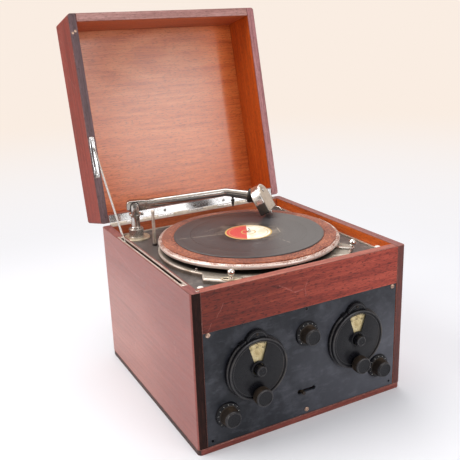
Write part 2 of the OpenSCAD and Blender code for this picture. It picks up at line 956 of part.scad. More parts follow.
module arm_base() {
    color("silver")
        translate([arm_x, arm_y, board_top])
            difference() {
                union() {
                    cylinder(r1 = flange_r, r2 = flange_r - 1, h = flange_t);
                    cylinder(r = barrel_r, h = barrel_top - board_top - 1);
                    translate([0, 0, barrel_top - board_top - 1 - eps])
                        cylinder(r1 = barrel_r, r2 = barrel_r - 1, h = 1);
                }
                translate([0, 0, -1])
                    cylinder(r = spigot_r + run_fit, h = bore_run);
            }
}

module arm_rest() {
    color("silver")
        translate([arm_x + rest_x, arm_y - rest_y, board_top]) {
            cylinder(r = rest_r + 1.4, h = 3);
            cylinder(r1 = rest_r, r2 = rest_r - 0.6, h = rest_h - 1);
            translate([0, 0, rest_h - 3])
                cylinder(r = rest_r, h = 3);
        }
}

// Places a part drawn along +X from the lifting pivot
module on_arm() {
    translate([arm_x, arm_y, pz])
        rotate([0, 0, arm_yaw])
            children();
}

// Cylinder or cone between two points
module rod(a, b, r1, r2) {
    d = b - a;
    len = norm(d);
    translate(a)
        rotate([0, acos(d[2] / len), atan2(d[1], d[0])])
            cylinder(r1 = r1, r2 = r2, h = len);
}

// Turning post: a spigot in the base, a waisted pillar and a fork for the arm
module arm_pillar() {
    low = barrel_top + move_gap;
    ring = cab_h + 24;
    color("silver")
        on_arm() {
            translate([0, 0, board_top + 1 - pz])
                cylinder(r = spigot_r, h = low - board_top - 1 + eps);
            translate([0, 0, low - pz])
                cylinder(r = pillar_r, h = ring - low + eps);
            translate([0, 0, ring - pz])
                cylinder(r = ring_r, h = 4);
            translate([pillar_r - 3, 0, ring + 1.5 - pz])
                rotate([0, 90, 0])
                    cylinder(r = 3, h = 9);
            for (s = [-1, 1])
                difference() {
                    translate([0, s * (fork_in + fork_t / 2), 0]) {
                        translate([-7, -fork_t / 2, ring + 3 - pz])
                            cube([14, fork_t, pz - ring - 3]);
                        rotate([90, 0, 0])
                            cylinder(r = 7.4, h = fork_t, center = true);
                    }
                    rotate([90, 0, 0])
                        cylinder(r = arm_pin_r, h = bore_run, center = true);
                }
        }
}

// Lifting pivot: a pin across the fork with a head on each side
module arm_pin() {
    half = fork_in + fork_t;
    color("gray")
        on_arm()
            rotate([90, 0, 0]) {
                cylinder(r = arm_pin_r, h = 2 * half + 1, center = true);
                for (s = [-1, 1])
                    translate([0, 0, s * (half + 0.7)])
                        cylinder(r = 3.8, h = 1.4, center = true);
            }
}

// Round bend between the straight tube and the neck
module elbow() {
    side = cross(arm_dir, elbow_in);
    mid = bend - elbow_cut * arm_dir + elbow_r * elbow_in;
    multmatrix([[-elbow_in[0], arm_dir[0], side[0], mid[0]],
                [-elbow_in[1], arm_dir[1], side[1], mid[1]],
                [-elbow_in[2], arm_dir[2], side[2], mid[2]]])
        rotate_extrude(angle = elbow_turn)
            translate([elbow_r, 0])
                circle(r = arm_r + elbow_step);
}

// Neck from the bend to the collar
module neck() {
    rod(bend + (elbow_cut - elbow_lap) * neck_dir, neck_end, arm_r, neck_r);
}

module arm_tube() {
    color("silver")
        on_arm()
            difference() {
                union() {
                    rotate([90, 0, 0])
                        cylinder(r = arm_head_r, h = 2 * (fork_in - move_gap), center = true);
                    translate([-arm_tail, -fork_in + move_gap, -5])
                        cube([arm_tail, 2 * (fork_in - move_gap), 14]);
                    rod([0, 0, 0], bend - (elbow_cut - elbow_lap) * arm_dir, arm_r, arm_r);
                    elbow();
                    neck();
                }
                rotate([90, 0, 0])
                    cylinder(r = arm_pin_r + run_fit, h = 60, center = true);
            }
}

// Frame of the pick-up head: Z is the face's normal and Y runs up its face
module on_head() {
    on_arm()
        translate(head_at)
            rotate([0, 0, head_turn])
                rotate([0, -head_tilt, 0])
                    rotate([90, 0, 90])
                        children();
}

// Dark collar behind the head, and the stud that hangs from the neck
module arm_collar() {
    stud = bend + 14 * neck_dir;
    color("black") {
        difference() {
            on_arm()
                rod(neck_end, neck_end + collar_t * neck_dir, collar_r - 0.8, collar_r);
            on_head()
                translate([-2 * head_r, -2 * head_r, 0])
                    cube(4 * head_r);
        }
        on_arm()
            difference() {
                translate(stud - [0, 0, arm_r + 12])
                    union() {
                        cylinder(r1 = 1.6, r2 = 2.4, h = 9);
                        translate([0, 0, 8])
                            cylinder(r = 3.2, h = 5);
                    }
                neck();
            }
    }
}

module horseshoe(r, low) {
    circle(r = r);
    translate([-r, -low])
        square([2 * r, low]);
}

// Horseshoe case, with a neck at the back that fills the way to the collar
module pickup_head() {
    color("silver")
        difference() {
            union() {
                on_head()
                    linear_extrude(head_t)
                        horseshoe(head_r, head_low);
                on_arm()
                    rod(neck_end + collar_t * neck_dir, neck_end + 38 * neck_dir, collar_r - 0.5,
                        collar_r + 2);
            }
            on_head() {
                translate([-2 * head_r, -2 * head_r, head_t])
                    cube(4 * head_r);
                translate([0, -head_low - 1, needle_at])
                    rotate([-90, 0, 0])
                        cylinder(r = needle_r, h = 9);
            }
        }
}

module pickup_face() {
    color("lightgray")
        on_head()
            translate([0, 0, head_t])
                linear_extrude(face_t)
                    horseshoe(head_r - 1.5, head_low - 1.5);
}

// Needle in the head, with its thumb screw on the right side
module needle() {
    len = needle_drop / cos(head_tilt) - move_gap;
    color("gray")
        on_head() {
            translate([0, -head_low, needle_at])
                rotate([-90, 0, 0]) {
                    cylinder(r = needle_r, h = 8);
                    translate([0, 0, -len])
                        cylinder(r1 = 0.4, r2 = needle_r, h = len + eps);
                }
            translate([head_r, -head_low + 8, needle_at - 3])
                rotate([0, 90, 0])
                    cylinder(r = 1.4, h = 13);
        }
}

// Lid, drawn shut and then opened

module lid_left() {
    color("saddlebrown")
        on_lid()
            difference() {
                side_board(lid_z, lid_top);
                box(stay_x - rail_w / 2, stay_x + rail_w / 2, plate_y0, plate_y1, lid_z - 1, lid_z + rail_t);
            }
}

module lid_right() {
    color("saddlebrown")
        on_lid()
            mirror([1, 0, 0])
                side_board(lid_z, lid_top);
}

module lid_front() {
    color("sienna")
        on_lid()
            box(-in_x, in_x, -hd, -in_y, lid_z, lid_top);
}

module lid_rear() {
    color("sienna")
        on_lid()
            difference() {
                box(-in_x, in_x, in_y, hd, lid_z, lid_top);
                box(-hinge_len / 2, hinge_len / 2, hd - leaf_w, hd + 1, lid_z - 1, lid_z + leaf_sink);
            }
}

module lid_top_panel() {
    color("peru")
        on_lid()
            box(-in_x, in_x, -in_y, in_y, lid_top - lid_top_t, lid_top);
}

module lid_leaf() {
    color("silver")
        on_lid()
            leaf(1, lid_z + leaf_sink - leaf_t, lid_z + leaf_sink, hinge_pin_r + run_fit);
}

// Plate and lug that carry the stay, its pin, and the screws in the lid's rim
module lid_fittings() {
    color("silver")
        on_lid() {
            difference() {
                box(stay_x - rail_w / 2, stay_x + rail_w / 2, plate_y0, plate_y1, lid_z, lid_z + rail_t);
                for (y = [plate_y0 + 5, plate_y1 - 5])
                    translate([stay_x, y, lid_z - 0.3])
                        cylinder(r = rail_screw_r, h = 0.8);
            }
            box(lug_x, lug_x + lug_t, stay_py - 3, stay_py + 3, stay_pz, lid_z + eps);
            translate([lug_x, stay_py, stay_pz])
                rotate([0, 90, 0]) {
                    cylinder(r = 3, h = lug_t);
                    cylinder(r = stay_pin_r, h = lug_t + 2 * lug_gap + stay_t);
                }
            for (x = leaf_screw_xs)
                translate([x, leaf_screw_y, lid_z + leaf_sink - leaf_t])
                    cylinder(r = leaf_screw_r, h = leaf_t);
        }
}

// Strip from the lid to the rail, drawn with the lid open
module stay_strip() {
    color("silver")
        translate([strip_x, open_py, open_pz])
            rotate([stay_tilt, 0, 0])
                difference() {
                    union() {
                        box(-stay_t / 2, stay_t / 2, -stay_len, 0, -stay_w / 2, stay_w / 2);
                        for (y = [0, -stay_len])
                            translate([0, y, 0])
                                rotate([0, 90, 0])
                                    cylinder(r = stay_eye_r, h = stay_t, center = true);
                    }
                    rotate([0, 90, 0])
                        cylinder(r = stay_pin_r + run_fit, h = 10, center = true);
                }
}

// Block that slides under the rail and carries the stay's foot
module stay_shoe() {
    half = slot_w / 2 - move_gap;
    color("dimgray")
        box(stay_x - half, stay_x + half, foot_y - shoe_l / 2, foot_y + shoe_l / 2,
            shoe_top - shoe_h, shoe_top);
}

side_left();
side_right();
front_board();
rear_rail();
bottom_board();
board_battens();
back_panel();
motor_board();
board_edging();
lift_knobs();
stay_rail();
cabinet_leaf();
hinge_pin();
cabinet_screws();
control_panel();
panel_screws();
dial_left();
dial_right();
scale_left();
scale_right();
hub_left();
hub_right();
vernier_left();
vernier_right();
volume_knob();
left_knob();
right_knob();
switch_lever();
chassis();
condensers();
potentiometers();
transformer();
valves();
terminal_strip();
motor_plate();
motor();
spindle();
platter();
felt();
record();
speed_lever();
brake_lever();
arm_base();
arm_rest();
arm_pillar();
arm_pin();
arm_tube();
arm_collar();
pickup_head();
pickup_face();
needle();
lid_left();
lid_right();
lid_front();
lid_rear();
lid_top_panel();
lid_leaf();
lid_fittings();
stay_strip();
stay_shoe();
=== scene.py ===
"""Looks of the radiogram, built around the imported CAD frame.

Lengths are millimetres in the CAD frame until make() turns them into metres.
Materials work in metres from their piece's origin.
"""

from math import asin, cos, degrees, pi, radians, sin, tan

import bmesh
import bpy
from mathutils import Matrix, Vector


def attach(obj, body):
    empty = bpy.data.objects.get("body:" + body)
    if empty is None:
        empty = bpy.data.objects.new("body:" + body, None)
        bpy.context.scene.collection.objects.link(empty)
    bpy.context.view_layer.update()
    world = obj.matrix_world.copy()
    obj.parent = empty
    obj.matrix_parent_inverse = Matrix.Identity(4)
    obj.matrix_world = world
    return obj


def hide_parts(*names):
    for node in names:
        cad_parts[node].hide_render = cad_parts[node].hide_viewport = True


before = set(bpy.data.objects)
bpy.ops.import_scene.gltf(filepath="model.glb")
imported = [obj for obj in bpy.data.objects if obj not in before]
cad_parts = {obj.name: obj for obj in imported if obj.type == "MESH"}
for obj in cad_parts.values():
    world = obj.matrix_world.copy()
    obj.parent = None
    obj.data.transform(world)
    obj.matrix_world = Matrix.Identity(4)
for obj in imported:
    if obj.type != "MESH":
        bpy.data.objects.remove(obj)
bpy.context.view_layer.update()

MM = 0.001

# Ways that a face can look
UP, DOWN, FRONT, BACK = (0, 0, 1), (0, 0, -1), (0, -1, 0), (0, 1, 0)

# Cabinet and lid
RIM_Z = 255.0
RIM_STUD = (-173.5, -179.2)
BACK_Y = 187.0
BACK_SCREW_XS, BACK_SCREW_ZS = (-165, 0, 165), (16, 174.5)
STAY_X = -181.0
STAY_SLOT_HALF, STAY_SLOT_LOW = 2.7, 230
RAIL_SCREW_YS = (-148.5, 107.3)
LID_Z = 255.8
LID_OPEN = 103.2
HINGE_Y, HINGE_Z = 190.7, 255.4
LEAF_SCREW_XS = (-125.1, -62.55, 0.0, 62.55, 125.1)
LEAF_SCREW_Y = 181.5
LID_CORNER_X, LID_CORNER_Y, LID_CORNER_R = 188.5, -188.0, 5
LID_PLATE_YS = (29.96, 103.96)
LID_RIM_SCREWS = ((-183.6, -153.5), (-178.6, -156.5))
LUG_X, STAY_PIN_Y, STAY_PIN_Z = -182.9, 51.96, 251

# Front panel fittings, as (x, z) on the panel
PANEL_Y = -187.0
DIALS = {"left": (-90.0, 119.0), "right": (90.0, 119.0)}
VERNIER_DROP = 40.0
KNOBS = {"volume": (0.0, 149.0), "left": (-139.0, 55.0), "right": (139.0, 55.0)}
PANEL_SCREWS = ((-165.0, 188.5), (165.0, 188.5), (0.0, 18.0))
EMPTY_HOLE = (0.2, 188.9)
LOBE_UP, LOBE_R = 42.0, 19.0
LOBE_SCREW = (0, 54.5, 7.2)
NUB_ANGLE, NUB_OUT = 118, 50.5
SCALE_TOP, SCALE_LINE_R, SCALE_FIGURE_R = 6.0, 42.6, 33.0
KNOB_FIGURE_R, KNOB_FIGURE_Z = 17.0, 3.86

# Deck and turntable
BOARD_TOP = 237.0
LIFT_KNOB_XS, LIFT_KNOB_Y = (-158.5, 158.5), -156
PLATE_TOP, PLATE_R, PLATE_EDGE = 245.0, 152.0, 3
PLATE_PIN = (-130.3, -85.1)
EAR_ANGLES = (225.0, 315.0)
EAR_OUT, EAR_HALF = 171.0, 28.0
SPINDLE_Y = -16.0
BALL_R, BALL_Z, BALL_NECK = 5.5, 255.8, 0.36
SPEED_ANGLE, SPEED_OUT = 231.4, 165.5
BRAKE_ANGLE, BRAKE_OUT = 316.2, 172.0
PLATTER_R, FELT_R, RECORD_R, LABEL_R = 151.0, 144.8, 125.0, 39.5
PLATTER_LOW, PLATTER_TOP, FELT_TOP, RECORD_TOP = 253.0, 261.0, 262.5, 264.5
PLATTER_ROLL, PLATTER_INNER_R, PLATTER_HUB_R, PLATTER_BORE = 4, 141, 16.5, 4.6
PLATTER_UNDER, PLATTER_HUB_LOW = 258, 249.4
RECORD_HOLE = 3.7

# Pick-up arm, in its own frame with the pivot at the origin
ARM_AT = (-140.0, 143.0, 297.0)
ARM_YAW = -14.75
ARM_START, BEND_REACH, SEAM_AT, STUD_AT = 22, 5, 112, 12.5
BASE_SCREW_ANGLES, BASE_SCREW_R, THUMB_UP = (40, 160, 280), 18.4, 43.9
BEND = Vector((166.0, 0.0, 9.0))
NECK_END = Vector((202.82, -15.63, 3.6))
AHEAD, NECK = BEND.normalized(), (NECK_END - BEND).normalized()
HEAD_AT = (219.52, -20.53, -5.6)
HEAD_TURN, HEAD_TILT = -30.3, 28.0
HEAD_R, HEAD_LOW, HEAD_T, FACE_T = 24.0, 27.0, 17.0, 1.2
NEEDLE_AT, NEEDLE_TIP_Z = 12.0, 264.75
REST_AT = (-128.5, 86)

# Camera solved from the photograph's edges, in degrees and metres
CAMERA_AT = (-0.5329, -0.9671, 0.6118)
CAMERA_SPIN, CAMERA_LIFT, CAMERA_ROLL = -27.644, 17.459, -2.04758
CAMERA_LENS = 53.527

# Lamps: where, towards, size, power, colour
LAMPS = {
    "key": ((-1.85, 0.45, 1.7), (0, 0, 0.2), (1.4, 1.4), 36, (1.0, 0.985, 0.965)),
    "top": ((0.15, 0.8, 2.2), (0, -0.1, 0.2), (1.5, 1.5), 27, (1, 1, 1)),
    "fill": ((0.25, -2.3, 1.5), (0, 0, 0.25), (1.0, 1.0), 11, (0.98, 0.99, 1.0)),
    "softbox": ((1.11, -2.2, 1.18), (1.11, 0.3, 0.7), (0.78, 0.5), 7.5, (1, 1, 1)),
    "softbox_lower": ((1.11, -2.2, 0.7), (1.11, 0.3, 0.45), (0.78, 0.46), 3.4, (1, 1, 1)),
    "softbox_upper": ((1.2, -2.2, 1.52), (1.2, 0.3, 1.1), (0.6, 0.26), 2.4, (1, 1, 1)),
}


# ---- places
def shift(x, y, z):
    return Matrix.Translation((x, y, z))


def turn(angle, axis):
    return Matrix.Rotation(radians(angle), 4, axis)


def on_panel(x, z):
    """Frame on the panel's face: x right, y up, z out of the panel."""
    return shift(x, PANEL_Y, z) @ turn(90, "X")


def under_lid(x, y, z=LID_Z):
    """Frame on the shut lid's rim, z down."""
    return shift(x, y, z) @ turn(180, "X")


def pointing(start, direction):
    """Frame at start with its z axis along direction."""
    return shift(*start) @ direction.to_track_quat("Z", "Y").to_matrix().to_4x4()


LID = shift(0, HINGE_Y, HINGE_Z) @ turn(-LID_OPEN, "X") @ shift(0, -HINGE_Y, -HINGE_Z)
DECK = shift(0, SPINDLE_Y, 0)
SPEED = DECK @ turn(SPEED_ANGLE, "Z") @ shift(SPEED_OUT, 0, 0)
BRAKE = DECK @ turn(BRAKE_ANGLE, "Z") @ shift(BRAKE_OUT, 0, 0)
BASE = shift(ARM_AT[0], ARM_AT[1], 0)
POST = BASE @ turn(ARM_YAW, "Z")
ARM = shift(*ARM_AT) @ turn(ARM_YAW, "Z")
HEAD = ARM @ shift(*HEAD_AT) @ turn(HEAD_TURN, "Z") @ turn(-HEAD_TILT, "Y") @ turn(90, "Z") @ turn(90, "X")


# ---- shapes
def arc(radius, start, end, steps, x=0.0, y=0.0):
    angles = [radians(start + (end - start) * i / steps) for i in range(steps + 1)]
    return [(x + radius * cos(a), y + radius * sin(a)) for a in angles]


def circle(radius, steps):
    return arc(radius, 0, 360, steps)[:-1]


def rounded(points, closed=False, parts=4):
    """Points (x, y) or (x, y, radius); a corner with a radius becomes a curve."""
    out = []
    for i, point in enumerate(points):
        corner = Vector(point[:2])
        if len(point) < 3 or (not closed and i in (0, len(points) - 1)):
            out.append(tuple(corner))
            continue
        before = Vector(points[i - 1][:2]) - corner
        after = Vector(points[(i + 1) % len(points)][:2]) - corner
        reach = min(point[2] / tan(before.angle(after) / 2), 0.49 * before.length, 0.49 * after.length)
        before.normalize()
        after.normalize()
        for k in range(parts + 1):
            t = k / parts
            out.append(tuple(corner + before * reach * (1 - t) ** 2 + after * reach * t ** 2))
    return out


def lift(height, points):
    """A profile raised to a height."""
    return [(r, height + z, *corner) for r, z, *corner in points]


def skin(bm, rings):
    """Faces between each ring and the next, where a ring of one vertex is a pole."""
    for low, high in zip(rings, rings[1:]):
        count = max(len(low), len(high))
        for i in range(count):
            j = (i + 1) % count
            if len(low) == 1:
                bm.faces.new((low[0], high[i], high[j]))
            elif len(high) == 1:
                bm.faces.new((low[i], low[j], high[0]))
            else:
                bm.faces.new((low[i], low[j], high[j], high[i]))


def lathe(profile, steps, shape=None, closed=False):
    """Turns a profile of (radius, height), rounded at its corners, about z.

    shape(r, z, angle) can change the radius.
    """
    bm = bmesh.new()
    rings = []
    for r, z in rounded(profile):
        if r < 1e-6:
            rings.append([bm.verts.new((0, 0, z))])
            continue
        ring = []
        for i in range(steps):
            a = 2 * pi * i / steps
            radius = shape(r, z, a) if shape else r
            ring.append(bm.verts.new((radius * cos(a), radius * sin(a), z)))
        rings.append(ring)
    skin(bm, rings + rings[:1] if closed else rings)
    return bm


def ribs(count, depth, low, high):
    """Radius change for a ribbed grip between two heights."""
    def shape(r, z, a):
        return r - depth * (0.5 - 0.5 * cos(count * a)) if low <= z <= high else r
    return shape


def soften(bm, width, segments=2, angle=35, material=-1):
    """Rounds the edges that are sharper than angle."""
    sharp = [e for e in bm.edges if len(e.link_faces) == 2 and e.calc_face_angle(0) > radians(angle)]
    bmesh.ops.bevel(bm, geom=sharp, offset=width, offset_type="OFFSET", segments=segments, profile=0.5,
                    affect="EDGES", clamp_overlap=True, material=material)
    return bm


def slab(outline, low, high, edge=0.0, holes=(), segments=2):
    """A plate from height low to high; its outline and holes are rounded at their corners."""
    bm = bmesh.new()
    edges = []
    for loop in (outline, *holes):
        verts = [bm.verts.new((x, y, low)) for x, y in rounded(loop, True)]
        edges += [bm.edges.new((verts[i - 1], verts[i])) for i in range(len(verts))]
    bmesh.ops.triangle_fill(bm, edges=edges, use_beauty=True)
    bmesh.ops.dissolve_limit(bm, angle_limit=0.01, verts=[], edges=bm.edges)
    raised = bmesh.ops.extrude_face_region(bm, geom=bm.faces[:])["geom"]
    verts = [g for g in raised if isinstance(g, bmesh.types.BMVert)]
    bmesh.ops.translate(bm, verts=verts, vec=(0, 0, high - low))
    bmesh.ops.recalc_face_normals(bm, faces=bm.faces)
    return soften(bm, edge, segments) if edge else bm


def box(left, front, right, back, corner=0.0):
    """Outline of a rectangle with rounded corners."""
    points = ((left, front), (right, front), (right, back), (left, back))
    return [(*point, corner) for point in points] if corner else points


def sweep(path, radii, sides=28):
    """A round bar along a path."""
    bm = bmesh.new()
    rings = []
    for i, point in enumerate(path):
        ahead = (path[min(i + 1, len(path) - 1)] - path[max(i - 1, 0)]).normalized()
        side = ahead.cross(Vector(UP)).normalized()
        above = side.cross(ahead)
        angles = [2 * pi * k / sides for k in range(sides)]
        rings.append([bm.verts.new(point + (side * cos(a) + above * sin(a)) * radii[i]) for a in angles])
    skin(bm, rings)
    bm.faces.new(rings[0])
    bm.faces.new(rings[-1])
    return bm


def merge(target, extra, place=Matrix(), material=None):
    """Adds the faces of one mesh to another."""
    spots = {v: target.verts.new(place @ v.co) for v in extra.verts}
    for face in extra.faces:
        copy = target.faces.new([spots[v] for v in face.verts])
        copy.material_index = face.material_index if material is None else material
    extra.free()
    return target


def mark(bm, pick):
    """Gives each face the material pick(r, z) for its centre's distance from the axis and height."""
    for face in bm.faces:
        centre = face.calc_center_median()
        face.material_index = int(pick(centre.xy.length, centre.z))
    return bm


def cut(bm, at, normal, **settings):
    """Cuts a mesh along a plane."""
    geometry = bm.verts[:] + bm.edges[:] + bm.faces[:]
    bmesh.ops.bisect_plane(bm, geom=geometry, plane_co=at, plane_no=normal, **settings)


def screw_head(radius, height, slot, angle):
    """A domed head with a slot, standing on z 0."""
    dome = [(radius * cos(t), height * (0.25 + 0.75 * sin(t))) for t in (0, 0.3, 0.6, 0.9, 1.2)]
    bm = lathe([(radius, -0.3)] + dome + [(0, height)], 28)
    for at in (-slot / 2, -slot * 0.36, slot * 0.36, slot / 2):
        cut(bm, (at, 0, 0), (1, 0, 0))
    for v in bm.verts:
        if abs(v.co.x) < slot * 0.4 and v.co.z > height * 0.2:
            v.co.z = height * 0.2
    bm.transform(turn(angle, "Z"))
    return bm


def figures(text, size):
    """Flat raised figures, centred on the origin."""
    curve = bpy.data.curves.new("figures", "FONT")
    curve.body = text
    curve.size = size
    curve.align_x = curve.align_y = "CENTER"
    curve.resolution_u = 3
    curve.extrude = 0.04
    holder = bpy.data.objects.new("figures", curve)
    mesh = bpy.data.meshes.new_from_object(holder)
    bm = bmesh.new()
    bm.from_mesh(mesh)
    bpy.data.objects.remove(holder)
    bpy.data.meshes.remove(mesh)
    bpy.data.curves.remove(curve)
    return bm


# ---- pieces
def show(name, data):
    """Adds an object to the scene."""
    thing = bpy.data.objects.new(name, data)
    bpy.context.scene.collection.objects.link(thing)
    return thing


def make(name, bm, body, materials, place=Matrix(), node=(), angle=38, flat_normals=False):
    """Turns a mesh in millimetres into a piece that rides on a body."""
    bmesh.ops.recalc_face_normals(bm, faces=bm.faces)
    bmesh.ops.scale(bm, vec=(MM, MM, MM), verts=bm.verts)
    mesh = bpy.data.meshes.new(name)
    bm.to_mesh(mesh)
    bm.free()
    for paint in materials:
        mesh.materials.append(paint.material)
    mesh.shade_smooth()
    mesh.set_sharp_from_angle(angle=radians(angle))
    piece = show(name, mesh)
    spot = place.copy()
    spot.translation *= MM
    piece.matrix_world = spot
    if flat_normals:
        piece.modifiers.new("Normals", "WEIGHTED_NORMAL").keep_sharp = True
    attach(piece, body)
    if node:
        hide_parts(node)


def dress(node, body, materials, width, place=Matrix(), pick=None, edge=-1, corner=None):
    """A CAD node's own shape with rounded edges and a material for each kind of face.

    pick(normal, centre) chooses a face's material, and edge is that of the rounded edges.
    corner is (x, y, radius) of an upright edge that is rounded more than the rest.
    """
    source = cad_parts[node]
    bm = bmesh.new()
    bm.from_mesh(source.data)
    bm.transform(place.inverted() @ Matrix.Diagonal((1 / MM, 1 / MM, 1 / MM, 1)) @ source.matrix_world)
    bmesh.ops.remove_doubles(bm, verts=bm.verts, dist=0.01)
    bmesh.ops.dissolve_limit(bm, angle_limit=radians(0.6), verts=bm.verts, edges=bm.edges)
    if pick:
        for face in bm.faces:
            face.material_index = pick(face.normal, face.calc_center_median())
    if corner:
        x, y, radius = corner
        near = [e for e in bm.edges if all(abs(v.co.x - x) + abs(v.co.y - y) < 0.5 for v in e.verts)]
        bmesh.ops.bevel(bm, geom=near, offset=radius, segments=5, profile=0.5, affect="EDGES", material=-1)
    soften(bm, width, angle=40, material=edge)
    make("dressed_" + node, bm, body, materials, place, node, angle=34, flat_normals=True)


def facing(*ways):
    """Picks material 1, 2 and so on for faces that look along these ways, and 0 for the rest."""
    def pick(normal, _):
        return next((i for i, way in enumerate(ways, 1) if normal.dot(Vector(way)) > 0.8), 0)
    return pick


def repaint(node, paint):
    """Puts a material on a CAD node that keeps its own shape."""
    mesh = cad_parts[node].data
    mesh.materials.clear()
    mesh.materials.append(paint.material)


# ---- materials
def tone(colour):
    """A screen colour (red, green, blue) as a linear one; anything else passes as it is."""
    if not isinstance(colour, tuple) or len(colour) != 3:
        return colour

    def linear(value):
        value /= 255
        return value / 12.92 if value <= 0.04045 else ((value + 0.055) / 1.055) ** 2.4
    return (*map(linear, colour), 1.0)


class Value:
    """A node's output, with the arithmetic that the materials use."""

    def __init__(self, nodes, socket):
        self.nodes, self.socket = nodes, socket

    def math(self, operation, other=0.0):
        return self.nodes.node("Math", {0: self, 1: other}, operation=operation)

    def __add__(self, other):
        return self.math("ADD", other)

    def __sub__(self, other):
        return self.math("SUBTRACT", other)

    def __mul__(self, other):
        return self.math("MULTIPLY", other)

    def rise(self, low, high, bottom=0.0, top=1.0):
        """A smooth step from bottom to top while the value goes from low to high."""
        feeds = {"Value": self, "From Min": low, "From Max": high, "To Min": bottom, "To Max": top}
        return self.nodes.node("MapRange", feeds, interpolation_type="SMOOTHSTEP")

    def mix(self, first, second):
        return self.nodes.mix(self, first, second)

    def ramp(self, *stops):
        """Colours at (position, colour)."""
        ramp = self.nodes.node("ValToRGB", {0: self})
        elements = ramp.socket.node.color_ramp.elements
        for element, (at, colour) in zip(elements, (stops[0], stops[-1])):
            element.position, element.color = at, tone(colour)
        for at, colour in stops[1:-1]:
            elements.new(at).color = tone(colour)
        return ramp

    def bump(self, depth, strength):
        return self.nodes.node("Bump", {"Height": self, "Distance": depth, "Strength": strength})


class Nodes:
    """Short ways to add nodes to a tree."""

    def __init__(self, tree):
        self.tree = tree

    def feed(self, socket, value):
        if isinstance(value, Value):
            self.tree.links.new(value.socket, socket)
        else:
            socket.default_value = value

    def node(self, kind, feeds=(), output=0, **settings):
        node = self.tree.nodes.new("ShaderNode" + kind)
        for name, value in settings.items():
            setattr(node, name, value)
        for key, value in dict(feeds).items():
            self.feed(node.inputs[key], value)
        return Value(self, node.outputs[output])

    def mix(self, share, first, second, blend="MIX"):
        feeds = {0: share, 6: tone(first), 7: tone(second)}
        return self.node("Mix", feeds, 2, data_type="RGBA", blend_type=blend)

    def seen_rays(self):
        """1 for rays that show the background: from the camera, or off metal and glass."""
        camera = self.node("LightPath", output="Is Camera Ray")
        mirrored = self.node("LightPath", output="Is Glossy Ray")
        through = self.node("LightPath", output="Is Transmission Ray")
        return camera.math("MAXIMUM", mirrored).math("MAXIMUM", through)

    def blend(self, output, share, first, second):
        """Sends a blend of two shaders to an output node."""
        self.feed(self.tree.nodes[output].inputs[0], self.node("MixShader", {0: share, 1: first, 2: second}))


class Paint(Nodes):
    """One procedural material."""

    def __init__(self, name, **sockets):
        self.material = bpy.data.materials.new(name)
        self.material.use_nodes = True
        super().__init__(self.material.node_tree)
        self.shader = self.tree.nodes["Principled BSDF"]
        self.set(**sockets)

    def set(self, **sockets):
        for name, value in sockets.items():
            self.feed(self.shader.inputs[name.replace("_", " ")], value)
        return self

    def place(self):
        return self.node("TexCoord", output="Object")

    def coords(self, scale, turned=(0, 0, 0), moved=(0, 0, 0)):
        """Object coordinates in metres, scaled."""
        scale = scale if isinstance(scale, (tuple, list)) else (scale,) * 3
        feeds = {"Vector": self.place(), "Scale": scale, "Rotation": turned, "Location": moved}
        return self.node("Mapping", feeds)

    def axis(self, index):
        return self.node("SeparateXYZ", {0: self.place()}, index)

    def radius(self):
        """Distance from the piece's z axis, in metres."""
        x, y = self.axis(0), self.axis(1)
        return (x * x + y * y).math("SQRT")

    def noise(self, where, detail=3.0, rough=0.55, warp=0.0):
        """Noise at a scale, or at coordinates of its own."""
        where = where if isinstance(where, Value) else self.coords(where)
        feeds = {"Vector": where, "Scale": 1.0, "Detail": detail, "Roughness": rough, "Distortion": warp}
        return self.node("TexNoise", feeds)

    def stroke(self, axes, start, end, width, waver=0.012):
        """1 on a thin wavering mark between two points, given on two axes in millimetres."""
        u = self.axis(axes[0]) + (self.noise(45, 2) * waver - (waver / 2 + start[0] * MM))
        v = self.axis(axes[1]) - start[1] * MM
        du, dv = (end[0] - start[0]) * MM, (end[1] - start[1]) * MM
        square = du * du + dv * dv
        far = (u * (du / square) + v * (dv / square)).math("MAXIMUM", 0.0).math("MINIMUM", 1.0)
        off_u, off_v = u - far * du, v - far * dv
        off = (off_u * off_u + off_v * off_v).math("SQRT")
        return off.rise(width * MM, 0.0) * self.noise(160, 2).rise(0.36, 0.52)

    def hairlines(self, length, across, angle, share, width=0.02):
        """Thin scratches, about 1/across metres apart, on the share of the surface that is worn."""
        where = self.coords((length, across, across), (angle, angle * 0.7, angle * 1.3))
        feeds = {"Vector": where, "Scale": 1.0}
        lines = self.node("TexVoronoi", feeds, "Distance", feature="DISTANCE_TO_EDGE")
        worn = self.noise(self.coords(17, moved=(angle, 3, 1)))
        return lines.rise(width, 0.0) * worn.rise(1 - share, 1.06 - share)


